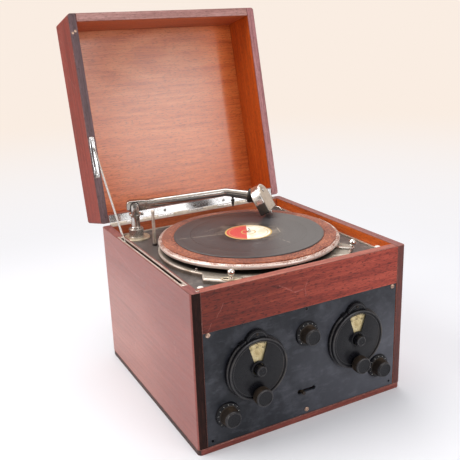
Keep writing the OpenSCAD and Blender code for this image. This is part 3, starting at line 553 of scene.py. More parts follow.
def wood(name, grain, dark, mid, pale, coat=0.2, gloss=0.4, scuffs=0.4, figure=0.22, marks=(), arch=None,
         shade=None, dash=0.4, level=0.25):
    """Polished mahogany with the fibres along one axis (0, 1 or 2).

    marks are scratches as (start, end, width), along the grain and upwards; arch is the centre of a flame
    figure in metres; shade(paint) gives a colour of painted light and shade that multiplies part of the
    board; dash is how dark the pores are, and level the shader's specular level.
    """
    paint = Paint(name, Coat_Weight=coat, Coat_Roughness=gloss, Specular_IOR_Level=level)

    def along(length, across):
        return paint.coords([length if axis == grain else across for axis in range(3)])

    broad = paint.noise(along(3.0, 17), 3, 0.5, 0.8)
    streak = paint.noise(along(6, 190), 4, 0.6, 0.1)
    fibre = paint.noise(along(60, 560), 3, 0.65)
    pores = paint.noise(along(150, 480), 3, 0.6).rise(0.52, 0.66)
    value = broad * figure + streak * (0.52 - figure / 2) + fibre * (0.48 - figure / 2)
    if arch:
        feeds = {"Vector": paint.place(), "Location": arch, "Scale": (2.8, 1.0, 1.0)}
        where = paint.node("Mapping", feeds, vector_type="TEXTURE")
        feeds = {"Vector": where, "Scale": 9.0, "Distortion": 3.0, "Detail": 4.0, "Detail Scale": 1.8}
        flame = paint.node("TexWave", feeds, 1, wave_type="RINGS", rings_direction="Z")
        value = value * 0.95 + flame * paint.axis(1).rise(0.02, -0.1, 0.02, 0.1)
    colour = value.ramp((0.36, dark), (0.50, mid), (0.64, pale))
    deep = (*(c * 0.4 for c in tone(dark)[:3]), 1.0)
    light = (*(min(1.0, c * 1.1 + 0.2) for c in tone(pale)[:3]), 1.0)
    colour = (pores * dash).mix(colour, deep)
    if shade:
        colour = paint.mix(1.0, colour, shade(paint), "MULTIPLY")
    if scuffs:
        lines = paint.hairlines(9, 60, 0.9, scuffs, 0.012)
        rubs = paint.hairlines(16, 90, 2.2, scuffs * 0.8)
        colour = (lines.math("MAXIMUM", rubs) * 0.45).mix(colour, light)
    for scratch in marks:
        colour = (paint.stroke((grain, 2), *scratch) * 0.22).mix(colour, light)
    return paint.set(Base_Color=colour, Roughness=fibre.rise(0.3, 0.7, 0.45, 0.65),
                     Normal=(fibre * 0.3 + pores * -0.7).bump(0.0001, 0.5))


def surface(name, clean, dirty, clouds, fine, dirt, rough, bump, **sockets):
    """Two colours mixed by clouds and fine specks, which are noises as (scale, detail, roughness).

    dirt and rough are the clouds' share, the range it rises over and, for rough, the roughness at its ends.
    """
    paint = Paint(name, **sockets)
    clouds, fine = paint.noise(*clouds), paint.noise(*fine)

    def worn(share, *limits):
        return (clouds * share + fine * (1 - share)).rise(*limits)
    return paint.set(Base_Color=worn(*dirt).mix(clean, dirty), Roughness=worn(*rough),
                     Normal=fine.bump(*bump))


def metal(name, bright, dull, worn, rough, cloud=42, speck=420, pits=0.00004, plating=1.0):
    """Plated metal with cloudy tarnish and small pits; plating below 1 is dulled by lacquer and dirt."""
    return surface(name, bright, dull, (cloud, 4, 0.65), (speck, 3, 0.6), (0.62, *worn),
                   (0.5, 0.38, 0.64, *rough), (pits, 0.6), Metallic=plating)


def moulded(name, colour, dusty, rough, grain=900, dust=(0.5, 0.72), level=0.5):
    """Bakelite or ebonite with dust in its pits and rubbed places."""
    return surface(name, colour, dusty, (38, 4, 0.6), (grain, 2, 0.6), (0.7, *dust),
                   (0.6, 0.35, 0.65, *rough), (0.00003, 0.5), Specular_IOR_Level=level)


def printed(name, colour, wear):
    """Filled figures and lines, a little uneven."""
    paint = Paint(name, Roughness=0.6, Specular_IOR_Level=0.3)
    fine = paint.noise(1300, 3, 0.6)
    return paint.set(Base_Color=fine.rise(0.45, 0.7).mix(colour, wear), Normal=fine.bump(0.00002, 0.4))


def case_paint():
    """Chromed pick-up case, duller below the middle where it faces the record, with the record's reflection
    painted there.
    """
    paint = Paint("pickup_case_chrome_painted_reflection", Metallic=1.0)
    clouds = paint.noise(90, 4, 0.65)
    specks = paint.noise(600, 3, 0.6)
    # Painted reflection: low marks the lower part, where the colour dull stands for the record mirrored in
    # the chrome.
    low = (paint.axis(1) + clouds * 0.006).rise(-0.001, -0.005)
    bright = specks.rise(0.5, 0.75).mix((234, 232, 229), (190, 182, 172))
    dull = clouds.mix((70, 67, 66), (100, 95, 92))
    return paint.set(Base_Color=low.mix(bright, dull), Roughness=low.rise(0.0, 1.0, 0.24, 0.42),
                     Normal=specks.bump(0.00003, 0.5))


def plate_paint():
    """Dull nickel of the motor plate, with painted shade under the platter."""
    paint = Paint("motor_plate_nickel_painted_shade", Metallic=0.45)
    clouds = paint.noise(30, 4, 0.65)
    specks = paint.noise(300, 3, 0.6)
    clean = (clouds * 0.6 + specks * 0.4).rise(0.46, 0.68).mix((168, 159, 147), (128, 118, 106))
    # Painted shade: inside the platter's edge the plate turns near black, for the shadow under the platter.
    painted_shade_under_platter = (paint.radius() + clouds * 0.004).rise(0.1515, 0.1435)
    return paint.set(Base_Color=painted_shade_under_platter.mix(clean, (40, 36, 34)), Roughness=clouds.rise(0.35, 0.65, 0.42, 0.6),
                     Normal=specks.bump(0.00004, 0.6))


def felt_paint():
    """Brown felt with tufts and worn patches."""
    paint = Paint("felt", Roughness=0.95, Sheen_Weight=0.25, Sheen_Roughness=0.5, Specular_IOR_Level=0.1)
    fluff = paint.noise(1500, 3, 0.7)
    tufts = paint.noise(560, 4, 0.7)
    patches = paint.noise(26, 3, 0.6)
    pills = paint.noise(270, 3, 0.7)
    value = fluff * 0.15 + tufts * 0.3 + pills * 0.35 + patches * 0.2
    colour = value.ramp((0.43, (90, 38, 20)), (0.5, (138, 67, 40)), (0.57, (188, 112, 76)))
    return paint.set(Base_Color=colour, Normal=(fluff * 0.5 + tufts * 0.5).bump(0.0006, 0.9))


def rim_paint():
    """The platter's rolled edge: nickel worn through to brown specks."""
    paint = Paint("platter_nickel", Metallic=0.6)
    specks = paint.noise(640, 4, 0.75)
    clouds = paint.noise(60, 3, 0.6)
    top = paint.axis(2).rise(0.2575, 0.2608, 0.0, 0.14)
    worn = (specks * 0.7 + clouds * 0.3 + top).rise(0.55, 0.7)
    return paint.set(Base_Color=worn.mix((232, 218, 210), (150, 104, 88)),
                     Roughness=worn.rise(0.0, 1.0, 0.42, 0.62), Normal=specks.bump(0.00012, 0.6))


def shellac_paint():
    """Grooves as rings of varying gloss, with scuffs round the label."""
    paint = Paint("shellac", Anisotropic=0.55, Specular_IOR_Level=0.55)
    radius = paint.radius()
    rings = paint.noise(paint.node("CombineXYZ", {0: radius * 1600}), 4, 0.7)
    bands = paint.noise(paint.node("CombineXYZ", {0: radius * 110}), 2, 0.5)
    dust = paint.noise(900, 3, 0.6)
    smears = paint.noise((18, 26, 1), 4, 0.6)
    scuff = radius.rise(0.064, 0.042) * smears.rise(0.48, 0.66)
    scratch = paint.hairlines(7, 80, 0.5, 0.45, 0.006)
    for start, end, width in RECORD_MARKS:
        scratch = scratch.math("MAXIMUM", paint.stroke((0, 1), start, end, width, 0.002))
    colour = (rings * 0.85 + bands * 0.15).rise(0.4, 0.6).mix((52, 51, 53), (84, 81, 82))
    run_out = radius.rise(0.0575, 0.053) * 0.7
    colour = run_out.mix(colour, (34, 32, 33))
    colour = (scuff * 0.5 + scratch * 0.8).mix(colour, (168, 156, 140))
    colour = dust.rise(0.62, 0.75, 0, 0.2).mix(colour, (120, 114, 106))
    return paint.set(Base_Color=colour, Normal=rings.bump(0.00002, 0.5),
                     Roughness=(rings * 0.8 + bands * 0.2).rise(0.35, 0.65, 0.26, 0.4),
                     Tangent=paint.node("Tangent", direction_type="RADIAL", axis="Z"))


def label_paint():
    """A plain paper label: one half red, one half cream, with gold rings."""
    paint = Paint("label_paper", Roughness=0.6, Specular_IOR_Level=0.25)
    gold = (206, 170, 104)
    radius = paint.radius()
    fibres = paint.noise(700, 3, 0.6)
    stains = paint.noise(70, 3, 0.6)
    across = paint.axis(0) * 0.88 + paint.axis(1) * -0.47
    red = fibres.rise(0.35, 0.65).mix((196, 66, 62), (214, 92, 84))
    cream = stains.rise(0.4, 0.66).mix((246, 240, 224), (230, 217, 188))
    colour = across.rise(-0.0035, -0.0025).mix(red, cream)
    colour = radius.rise(0.0366, 0.037).mix(colour, gold)
    for at, half in ((0.0325, 0.0006), (0.0115, 0.0012)):
        colour = (radius - at).math("ABSOLUTE").rise(half, half * 0.6).mix(colour, gold)
    return paint.set(Base_Color=colour, Normal=fibres.bump(0.00004, 0.4))


def scale_paint():
    """Yellowed celluloid with stains."""
    paint = Paint("celluloid", Roughness=0.38, Specular_IOR_Level=0.4)
    stains = paint.noise(110, 4, 0.65)
    fine = paint.noise(700, 3, 0.6)
    value = stains * 0.7 + fine * 0.3
    colour = value.ramp((0.36, (160, 134, 84)), (0.5, (202, 182, 134)), (0.64, (222, 206, 162)))
    return paint.set(Base_Color=colour, Normal=fine.bump(0.00002, 0.4))


def panel_paint():
    """Ebonite of the control panel, with a painted sheen towards the lower right, hazed by dust and rubbed
    all over.
    """
    paint = Paint("ebonite", Specular_IOR_Level=0.28)
    clouds = paint.noise(24, 4, 0.6)
    fine = paint.noise(1100, 2, 0.6)
    rubs = paint.noise(paint.coords((50, 50, 110), (0, 0.6, 0)), 4, 0.65)
    # Painted sheen: right and low make the panel paler grey towards its lower right; clouds and rubs are dust
    # and rubbing.
    right = paint.axis(0).rise(-0.12, 0.16)
    low = paint.axis(2).rise(0.19, 0.1, 0.15)
    dust_and_painted_sheen = right * low * 0.62 + clouds.rise(0.42, 0.66) * 0.24 + rubs.rise(0.5, 0.68) * 0.18
    return paint.set(Base_Color=dust_and_painted_sheen.mix((26, 28, 34), (92, 93, 101)), Normal=fine.bump(0.00003, 0.5),
                     Roughness=(clouds * 0.6 + fine * 0.4).rise(0.35, 0.65, 0.28, 0.46))


def glass_paint():
    paint = Paint("valve_glass", Roughness=0.08, Transmission_Weight=0.7, IOR=1.45)
    return paint.set(Base_Color=paint.noise(60).mix((190, 196, 200), (120, 120, 124)))


# Shades are painted light and shade: they multiply a board's colour, so they are linear, and 1 leaves it as
# it is
AS_IT_IS = (1, 1, 1, 1)


def front_shade(paint):
    """Painted shade: the front board is darker towards its left end."""
    return paint.axis(0).rise(-0.19, 0.17).mix((0.4, 0.33, 0.25, 1), AS_IT_IS)


def side_shade(paint):
    """Painted light and shade: the left side is paler and greyer low down and towards the rear, a painted
    reflection of the bright floor, and darker at the top front.
    """
    painted_reflection_share = paint.axis(2).rise(0.245, 0.09) * paint.axis(1).rise(-0.16, 0.06)
    return painted_reflection_share.mix((0.74, 0.5, 0.46, 1), (1.14, 1.3, 1.3, 1))


def lid_shade(paint):
    """Painted shade: the lid's inside is darker at its front edge and redder to the right."""
    near = paint.axis(1).rise(-0.17, 0.12).mix((0.66, 0.68, 0.8, 1), AS_IT_IS)
    return paint.axis(0).rise(0.06, 0.17).mix(near, (0.88, 0.74, 0.5, 1))


# Scratches: start, end, width
SIDE_MARKS = (((150, 236), (40, 214), 1.2), ((40, 214), (-5, 216), 1.0), ((-60, 128), (-72, 118), 1.0),
              ((-120, 160), (-124, 138), 1.3), ((60, 70), (48, 88), 0.9))
FRONT_MARKS = (((-47, 237), (-20, 221), 1.4), ((-20, 221), (-3, 223), 1.3), ((-3, 223), (3, 236), 1.3),
               ((-4, 222), (-3, 211), 1.1), ((-140, 232), (-150, 212), 0.6), ((-158, 206), (-164, 196), 0.6))
LID_MARKS = (((-60, 280), (-90, 318), 1.4), ((60, 290), (48, 306), 1.2), ((-150, 322), (-158, 330), 1.6))
RECORD_MARKS = (((-120, 31.7), (-47.5, 16.2), 1.9), ((44, -30), (52, -6), 1.4), ((24, -60), (28, -84), 1.3))

SIDE_WOOD = wood("mahogany_side", 1, (138, 76, 66), (158, 92, 81), (172, 106, 94), coat=0.75, gloss=0.3,
                 scuffs=0.3, figure=0.34, marks=SIDE_MARKS, shade=side_shade, dash=0.22)
LID_SIDE = wood("mahogany_lid_side", 1, (92, 32, 25), (128, 52, 42), (152, 74, 63), coat=0.0, gloss=0.34,
                figure=0.25, marks=LID_MARKS, level=0.12)
FRONT_WOOD = wood("mahogany_front", 0, (108, 35, 26), (155, 58, 43), (188, 84, 64), gloss=0.3, scuffs=0.25,
                  figure=0.2, marks=FRONT_MARKS, shade=front_shade, dash=0.7)
REAR_WOOD = wood("mahogany_rear", 0, (98, 44, 38), (128, 62, 52), (150, 80, 68), coat=0.35, gloss=0.36,
                 scuffs=0.25)
LID_WOOD = wood("mahogany_lid_inside", 0, (196, 96, 46), (228, 127, 70), (243, 151, 92), coat=1.0, gloss=0.17,
                scuffs=0.0, figure=0.12, arch=(0.08, -0.115, 0.3), shade=lid_shade, dash=0.42)
INNER_WOOD = wood("mahogany_inner", 1, (172, 70, 20), (206, 92, 27), (224, 114, 45), coat=0.25, gloss=0.36,
                  scuffs=0.0)
INNER_CROSS = wood("mahogany_inner_cross", 0, (156, 72, 38), (190, 96, 56), (208, 118, 74), coat=0.25,
                   gloss=0.36, scuffs=0.0)
# The lid's rims and the rear rail's top are tinted pink and mauve grey: painted sheen, the grazing reflection
# of the pale backdrop.
RIM_CROSS_PAINTED_SHEEN = wood("rim_cross_painted_sheen", 0, (134, 84, 78), (176, 126, 118), (200, 154, 146), coat=0.3)
RIM_LONG_PAINTED_SHEEN = wood("rim_long_painted_sheen", 1, (134, 77, 77), (177, 118, 118), (204, 147, 148), coat=0.3)
CABINET_RIM = wood("rim_cabinet", 1, (106, 58, 54), (138, 82, 78), (164, 108, 102))
FRONT_RIM = wood("rim_front", 0, (124, 58, 47), (160, 86, 72), (186, 114, 98))
# The lid's left rim: mauve grey as painted sheen.
RIM_DARK_PAINTED_SHEEN = wood("rim_dark_painted_sheen", 1, (72, 53, 54), (102, 77, 80), (130, 102, 104))
END_WOOD = wood("end_grain", 2, (26, 14, 12), (42, 23, 20), (66, 38, 31), coat=0.0, scuffs=0.3, level=0.1)
END_RED = wood("end_grain_red", 2, (66, 28, 24), (92, 42, 36), (116, 60, 50), coat=0.3, gloss=0.38,
               scuffs=0.3)
SILL_WOOD = wood("mahogany_sill", 0, (92, 38, 31), (124, 56, 47), (150, 82, 70), gloss=0.36)
SILL_END = wood("sill_end", 1, (46, 32, 30), (66, 46, 43), (92, 66, 60), coat=0.1, scuffs=0.3)
EDGE_WOOD = wood("worn_edge", 1, (96, 50, 44), (128, 74, 64), (160, 108, 94), gloss=0.45, scuffs=0.5)
PLAIN_WOOD = wood("plain_wood", 0, (104, 64, 40), (138, 92, 60), (160, 114, 78), coat=0.15, gloss=0.5,
                  scuffs=0.2)
SLOT_SHADOW_WOOD = wood("slot_shadow", 1, (24, 16, 14), (36, 24, 20), (50, 34, 28), coat=0.1, gloss=0.5, scuffs=0.0)

NICKEL = metal("nickel", (208, 205, 201), (152, 142, 130), (0.54, 0.74), (0.1, 0.26))
# A darker copy of the nickel for the arm tube: painted shade.
ARM_NICKEL_PAINTED_SHADE = metal("arm_nickel_painted_shade", (176, 172, 168), (130, 121, 111), (0.54, 0.74), (0.1, 0.24))
LEAF = metal("leaf_nickel", (198, 197, 197), (160, 158, 158), (0.52, 0.72), (0.18, 0.28), 16, 240, 0.00001)
CHROME = metal("pickup_chrome", (222, 220, 217), (176, 166, 154), (0.56, 0.74), (0.07, 0.2))
SATIN = metal("satin_nickel", (216, 207, 195), (174, 160, 142), (0.46, 0.68), (0.3, 0.48), plating=0.75)
AGED = metal("aged_nickel", (220, 208, 184), (166, 144, 114), (0.42, 0.64), (0.38, 0.56), plating=0.5)
RAIL = metal("rail_nickel", (214, 206, 196), (156, 142, 126), (0.44, 0.68), (0.34, 0.5), plating=0.55)
# A darker copy of the plate's nickel for its outer side: painted shade.
PLATE_SIDE_PAINTED_SHADE = metal("plate_side_nickel_painted_shade", (124, 116, 106), (92, 84, 75), (0.44, 0.68), (0.4, 0.58), plating=0.5)
FACE = metal("pickup_face_nickel", (196, 184, 170), (158, 146, 132), (0.45, 0.7), (0.34, 0.5), plating=0.7)
BARREL = metal("barrel_nickel", (182, 175, 168), (122, 112, 103), (0.45, 0.68), (0.2, 0.36), plating=0.7)
STEEL = metal("steel", (150, 148, 146), (88, 80, 72), (0.45, 0.65), (0.25, 0.5))
BRASS = metal("brass", (200, 168, 148), (122, 94, 78), (0.46, 0.66), (0.2, 0.4), 160, 900, plating=0.6)
ALUMINIUM = metal("aluminium", (190, 190, 190), (140, 138, 134), (0.5, 0.7), (0.35, 0.55))
BAKELITE = moulded("bakelite", (19, 19, 23), (44, 41, 41), (0.22, 0.38), 1000, (0.52, 0.8), 0.25)
GRIP = moulded("bakelite_grip", (38, 31, 26), (92, 76, 60), (0.4, 0.6), 700, (0.44, 0.7), 0.3)
# Lighter bakelite for the rims and raised rings of dials and knobs: rubbed dust, and a painted highlight
# along their edges.
WORN_EDGE_AND_HIGHLIGHT = moulded("bakelite_edge_dust_and_highlight", (40, 39, 42), (72, 67, 63), (0.26, 0.42), 900, (0.46, 0.7), 0.4)
COLLAR = moulded("collar_ebonite", (30, 24, 22), (64, 50, 44), (0.3, 0.5))
IVORY = moulded("stud_ivory", (238, 234, 226), (206, 196, 178), (0.25, 0.4), 700, (0.5, 0.75))
INK = printed("dial_ink", (52, 40, 30), (98, 80, 56))
SHADOW = printed("hole_shadow", (7, 6, 6), (16, 13, 12))
WHITE = printed("white_filling", (206, 204, 198), (150, 146, 138))
BOARD = surface("board_black", (84, 78, 76), (152, 140, 133), (22, 4, 0.65), ((900, 500, 700), 3, 0.65),
                (0.55, 0.47, 0.7), (0.0, 0.3, 0.7, 0.38, 0.6), (0.00006, 0.5), Specular_IOR_Level=0.45)
FELT, RIM, SHELLAC, LABEL, CASE = felt_paint(), rim_paint(), shellac_paint(), label_paint(), case_paint()
PLATE, CELLULOID, GLASS, EBONITE = plate_paint(), scale_paint(), glass_paint(), panel_paint()


# ---- cabinet and lid
def build_cabinet():
    for node, inside, end in (("side_left", 1, END_WOOD), ("side_right", -1, END_RED)):
        def board_face(normal, centre, inside=inside):
            # The faces inside the stay's slot are near black: painted shadow.
            if abs(centre.x - STAY_X) < STAY_SLOT_HALF and STAY_SLOT_LOW < centre.z < RIM_Z - 0.05:
                return 5
            return facing(FRONT, UP, (inside, 0, 0))(normal, centre) or facing(BACK)(normal, centre)
        woods = [SIDE_WOOD, end, CABINET_RIM, INNER_WOOD, EDGE_WOOD, SLOT_SHADOW_WOOD]
        dress(node, "cabinet", woods, 0.7, pick=board_face, edge=4)
    dress("front_board", "cabinet", [FRONT_WOOD, FRONT_RIM, INNER_CROSS, EDGE_WOOD], 0.7,
          pick=facing(UP, BACK), edge=3)
    dress("rear_rail", "cabinet", [REAR_WOOD, RIM_CROSS_PAINTED_SHEEN, INNER_CROSS, EDGE_WOOD], 0.5,
          pick=facing(UP, FRONT), edge=3)
    dress("bottom_board", "cabinet", [SILL_WOOD, SILL_END, EDGE_WOOD], 1.2,
          pick=lambda normal, _: 1 if normal.x < -0.4 else 0, edge=2)
    dress("board_battens", "cabinet", [PLAIN_WOOD], 0.6)
    dress("back_panel", "cabinet", [PLAIN_WOOD], 0.4)
    stud = lathe([(3.2, -0.4), (3.2, 0.1), (2.7, 0.5, 0.3), (0, 0.6)], 28)
    stud.transform(shift(*RIM_STUD, RIM_Z))
    make("rim_stud", stud, "cabinet", [NICKEL])


def build_lid():
    for node, rim, side in (("lid_left", RIM_DARK_PAINTED_SHEEN, -1), ("lid_right", RIM_LONG_PAINTED_SHEEN, 1)):
        dress(node, "lid", [LID_SIDE, rim, INNER_WOOD, EDGE_WOOD], 0.7, LID,
              facing(DOWN, (-side, 0, 0)), edge=3, corner=(side * LID_CORNER_X, LID_CORNER_Y, LID_CORNER_R))
    cross = [FRONT_WOOD, RIM_CROSS_PAINTED_SHEEN, INNER_CROSS, EDGE_WOOD]
    dress("lid_front", "lid", cross, 0.7, LID, facing(DOWN, BACK), edge=3)
    dress("lid_rear", "lid", cross, 0.5, LID, facing(DOWN, FRONT), edge=3)
    dress("lid_top_panel", "lid", [REAR_WOOD, LID_WOOD], 0.5, LID, facing(DOWN))

    front, back = LID_PLATE_YS
    slot = box(STAY_X - 3.2, front + 12, STAY_X - 1.4, back - 20, 0.8)
    plate = slab(box(STAY_X - 5, front, STAY_X + 5, back, 3), LID_Z, LID_Z + 1.2, 0.25, [slot])
    for y in (front + 5, back - 5):
        merge(plate, screw_head(2.6, 0.9, 0.7, 20 + y), under_lid(STAY_X, y))
    front, back = STAY_PIN_Y - 3, STAY_PIN_Y + 3
    lug = [(front, LID_Z + 0.4), (back, LID_Z + 0.4), (back, STAY_PIN_Z, 2.8), (back, STAY_PIN_Z - 3, 2.8),
           (front, STAY_PIN_Z - 3, 2.8), (front, STAY_PIN_Z, 2.8)]
    upright = Matrix(((0, 0, 1, LUG_X), (1, 0, 0, 0), (0, 1, 0, 0), (0, 0, 0, 1)))
    merge(plate, slab(lug, 0, 1.6, 0.25), upright)
    pin = lathe([(0, 0.6), (1.5, 0.6), (1.5, 3.9, 0.4), (0, 4.1)], 24)
    merge(plate, pin, shift(LUG_X, STAY_PIN_Y, STAY_PIN_Z) @ turn(90, "Y"))
    for x in LEAF_SCREW_XS:
        merge(plate, screw_head(2.8, 0.35, 0.7, x), under_lid(x, LEAF_SCREW_Y, LID_Z - 0.1), 1)
    make("lid_fittings_dressed", plate, "lid", [LEAF, STEEL], LID, "lid_fittings")

    pair = bmesh.new()
    for x, y in LID_RIM_SCREWS:
        merge(pair, screw_head(2.4, 0.8, 0.6, 40 * x), under_lid(x, y))
    make("lid_rim_screws", pair, "lid", [BRASS], LID)
    repaint("lid_leaf", LEAF)
    repaint("cabinet_leaf", SATIN)
    repaint("hinge_pin", STEEL)


def build_stay():
    dress("stay_strip", "stay", [NICKEL], 0.35)
    repaint("stay_shoe", STEEL)
    dress("stay_rail", "cabinet", [RAIL], 0.25)
    screws = bmesh.new()
    for y in RAIL_SCREW_YS:
        merge(screws, screw_head(2.6, 0.5, 0.7, 30 + y), shift(STAY_X, y, RIM_Z))
    for x in BACK_SCREW_XS:
        for z in BACK_SCREW_ZS:
            merge(screws, screw_head(3.8, 1.6, 0.9, x + z), shift(x, BACK_Y, z) @ turn(-90, "X"))
    make("cabinet_screws_dressed", screws, "cabinet", [NICKEL], node="cabinet_screws")


# ---- front panel
def lobe_arc(radius, limit):
    """The part of a circle round the lobe's centre that lies outside a circle round the dial's."""
    tilt = degrees(asin((limit ** 2 - radius ** 2 - LOBE_UP ** 2) / (2 * LOBE_UP * radius)))
    return arc(radius, tilt, 180 - tilt, 32, 0, LOBE_UP)


def crescent(radius, limit):
    """Outline of the dial's lobe outside a circle round the dial's centre."""
    outer = lobe_arc(radius, limit)
    half = degrees(asin(outer[-1][0] / limit))
    return outer + arc(limit, 90 - half, 90 + half, 24)[1:-1]


def lobe_ring(inner, outer, limit):
    """Outline of a raised ring on the dial's lobe."""
    return lobe_arc(outer, limit) + lobe_arc(inner, limit)[::-1]


def build_dial(side):
    place = on_panel(*DIALS[side])
    body = "dial_" + side[0]
    profile = [(44.0, 9.4), (45.2, 10.0, 0.3), (45.8, 11.3, 0.5), (47.4, 11.5, 0.6), (48.9, 10.6, 0.8),
               (49.0, 6.4, 0.3), (50.4, 5.6, 0.5), (51.0, 4.4, 0.6), (51.0, 0.0)]
    housing = mark(lathe(profile, 120), lambda r, z: z > 11.0 or 4.6 < z < 6.0)
    window = arc(43.5, 68.4, 111.6, 16) + arc(13, 122.2, 57.8, 12)
    merge(housing, slab(circle(45.3, 96), 8, 10, 0.25, [circle(9.3, 48), window]))
    # A raised ring near the face's rim, lighter at its crest as a painted highlight.
    merge(housing, lathe([(41.8, 9.9), (42.1, 10.3, 0.2), (42.7, 10.3, 0.2), (43.0, 9.9)], 120), material=1)
    merge(housing, lathe([(13, 9.4), (12.6, 10.5, 0.4), (11, 10.9, 0.5), (9.4, 10.6, 0.4), (9.3, 8)], 64))
    merge(housing, slab(crescent(LOBE_R, 47), 0, 7, 0.6))
    for inner, outer, limit in ((15.0, 16.6, 48.8), (7.6, 8.8, 49.4)):
        merge(housing, slab(lobe_ring(inner, outer, limit), 6.9, 7.7, 0.25), material=1)
    nub = slab(box(-4, -2.6, 4, 2.6, 0.8), 0, 8.6, 0.5)
    merge(housing, nub, turn(NUB_ANGLE, "Z") @ shift(NUB_OUT, 0, 0) @ turn(90, "Z"))
    make(f"dial_{side}_housing", housing, "cabinet", [BAKELITE, WORN_EDGE_AND_HIGHLIGHT], place, "dial_" + side)
    tip = screw_head(2.1, 1.0, 0.6, 35)
    make(f"dial_{side}_screw", tip, "cabinet", [GRIP], place @ shift(*LOBE_SCREW))

    disc = lathe([(0, 4.0), (44.4, 4.0), (44.5, SCALE_TOP - 0.1, 0.2), (0, SCALE_TOP)], 96)
    make(f"scale_{side}_disc", disc, body, [CELLULOID], place, "scale_" + side)
    marks = bmesh.new()
    for step in range(101):
        angle = 180 - 1.8 * step
        half = (5.5 if step % 10 == 0 else 4.0 if step % 5 == 0 else 2.6) / 2
        wide = (0.45 if step % 10 else 0.7) / 2
        at = turn(angle, "Z") @ shift(SCALE_LINE_R - half, 0, 0) @ turn(90, "Z")
        merge(marks, slab(box(-wide, -half, wide, half), SCALE_TOP, SCALE_TOP + 0.06), at)
        if step % 10 == 0:
            at = turn(angle - 90, "Z") @ shift(0, SCALE_FIGURE_R, SCALE_TOP + 0.03)
            merge(marks, figures(str(step), 4.6), at)
    make(f"scale_{side}_marks", marks, body, [INK], place)

    profile = [(0, 5.5), (8.3, 5.5), (8.3, 11.4), (8.5, 12.2, 0.3), (8.5, 18.4, 0.2), (7.7, 19.7, 0.8),
               (6.6, 19.9, 0.3), (6.0, 19.3, 0.3), (3.0, 19.1), (2.4, 19.6, 0.3), (0, 19.7)]
    hub = lathe(profile, 144, ribs(36, 0.3, 12.3, 18.3))
    mark(hub, lambda r, z: z > 19.3 and r > 6.2 or 11.3 < z < 12.4)
    make(f"hub_{side}_knob", hub, body, [BAKELITE, WORN_EDGE_AND_HIGHLIGHT], place, "hub_" + side)

    profile = [(0, 7.0), (3.0, 7.0), (3.0, 12.2), (11.8, 12.2), (12.4, 13.6, 0.5), (13.8, 14.8, 0.5),
               (14.0, 25.0, 0.1), (13.5, 26.4, 0.7), (12.6, 27.0, 0.4), (11.6, 26.9, 0.3), (11.0, 26.3, 0.3),
               (0, 26.2)]
    knob = lathe(profile, 288, ribs(48, 0.4, 14.9, 25.2))
    mark(knob, lambda r, z: 1 if z < 25.4 else 2 if r > 11.4 else 0)
    make(f"vernier_{side}_knob", knob, "vernier_" + side[0], [BAKELITE, GRIP, WORN_EDGE_AND_HIGHLIGHT],
         place @ shift(0, -VERNIER_DROP, 0), "vernier_" + side)


def build_knob(name):
    place = on_panel(*KNOBS[name])
    body = name + "_control"
    profile = [(0, 0.6), (20.0, 0.6), (20.0, 1.6, 0.4), (18.9, 3.6, 0.8), (15.2, 3.9), (14.2, 4.7, 0.4),
               (13.5, 17.0, 0.1), (12.9, 18.6, 0.8), (12.0, 19.2, 0.2), (11.7, 20.4, 0.5), (10.7, 20.5, 0.4),
               (10.1, 19.8, 0.3), (0, 19.6)]
    knob = lathe(profile, 288, ribs(48, 0.45, 4.9, 17.2))
    mark(knob, lambda r, z: 1 if 4.2 < z < 17.6 else 2 if z > 17.6 and r > 10.4 else 0)
    make(f"{name}_knob_turned", knob, body, [BAKELITE, GRIP, WORN_EDGE_AND_HIGHLIGHT], place, name + "_knob")
    marks = bmesh.new()
    for step in range(11):
        at = turn(135 - 27 * step, "Z") @ shift(0, KNOB_FIGURE_R, KNOB_FIGURE_Z)
        merge(marks, figures(str(step), 2.9), at)
    make(f"{name}_knob_figures", marks, body, [WHITE], place)


def build_panel():
    dress("control_panel", "cabinet", [EBONITE], 0.4)
    screws = bmesh.new()
    for i, at in enumerate(PANEL_SCREWS):
        merge(screws, screw_head(3.8, 2.0, 1.0, 25 + 50 * i), on_panel(*at))
    make("panel_screws_dressed", screws, "cabinet", [BRASS], node="panel_screws")
    hole = lathe([(0, 0.04), (2.5, 0.04), (2.6, 0.2, 0.1), (3.0, 0.2, 0.1), (3.2, 0.0)], 28)
    mark(hole, lambda r, z: r < 2.0)
    make("panel_empty_hole", hole, "cabinet", [EBONITE, SHADOW], on_panel(*EMPTY_HOLE))
    for side in DIALS:
        build_dial(side)
    for name in KNOBS:
        build_knob(name)
    dress("switch_lever", "switch", [GRIP], 0.4)


# ---- deck
def plate_outline(steps=720, ease=4):
    """Outline of the motor plate: a disc with two square ears, its corners eased."""
    radii = []
    for i in range(steps):
        r = PLATE_R
        for ear in EAR_ANGLES:
            off = radians((360 * i / steps - ear + 180) % 360 - 180)
            if abs(off) < 0.6:
                reach = EAR_OUT / cos(off)
                if abs(sin(off)) * reach > EAR_HALF:
                    reach = EAR_HALF / abs(sin(off))
                r = max(r, reach)
        radii.append(r)
    near = range(-ease, ease + 1)
    eased = [sum(radii[(i + k) % steps] for k in near) / len(near) for i in range(steps)]
    return [(r * cos(2 * pi * i / steps), r * sin(2 * pi * i / steps)) for i, r in enumerate(eased)]


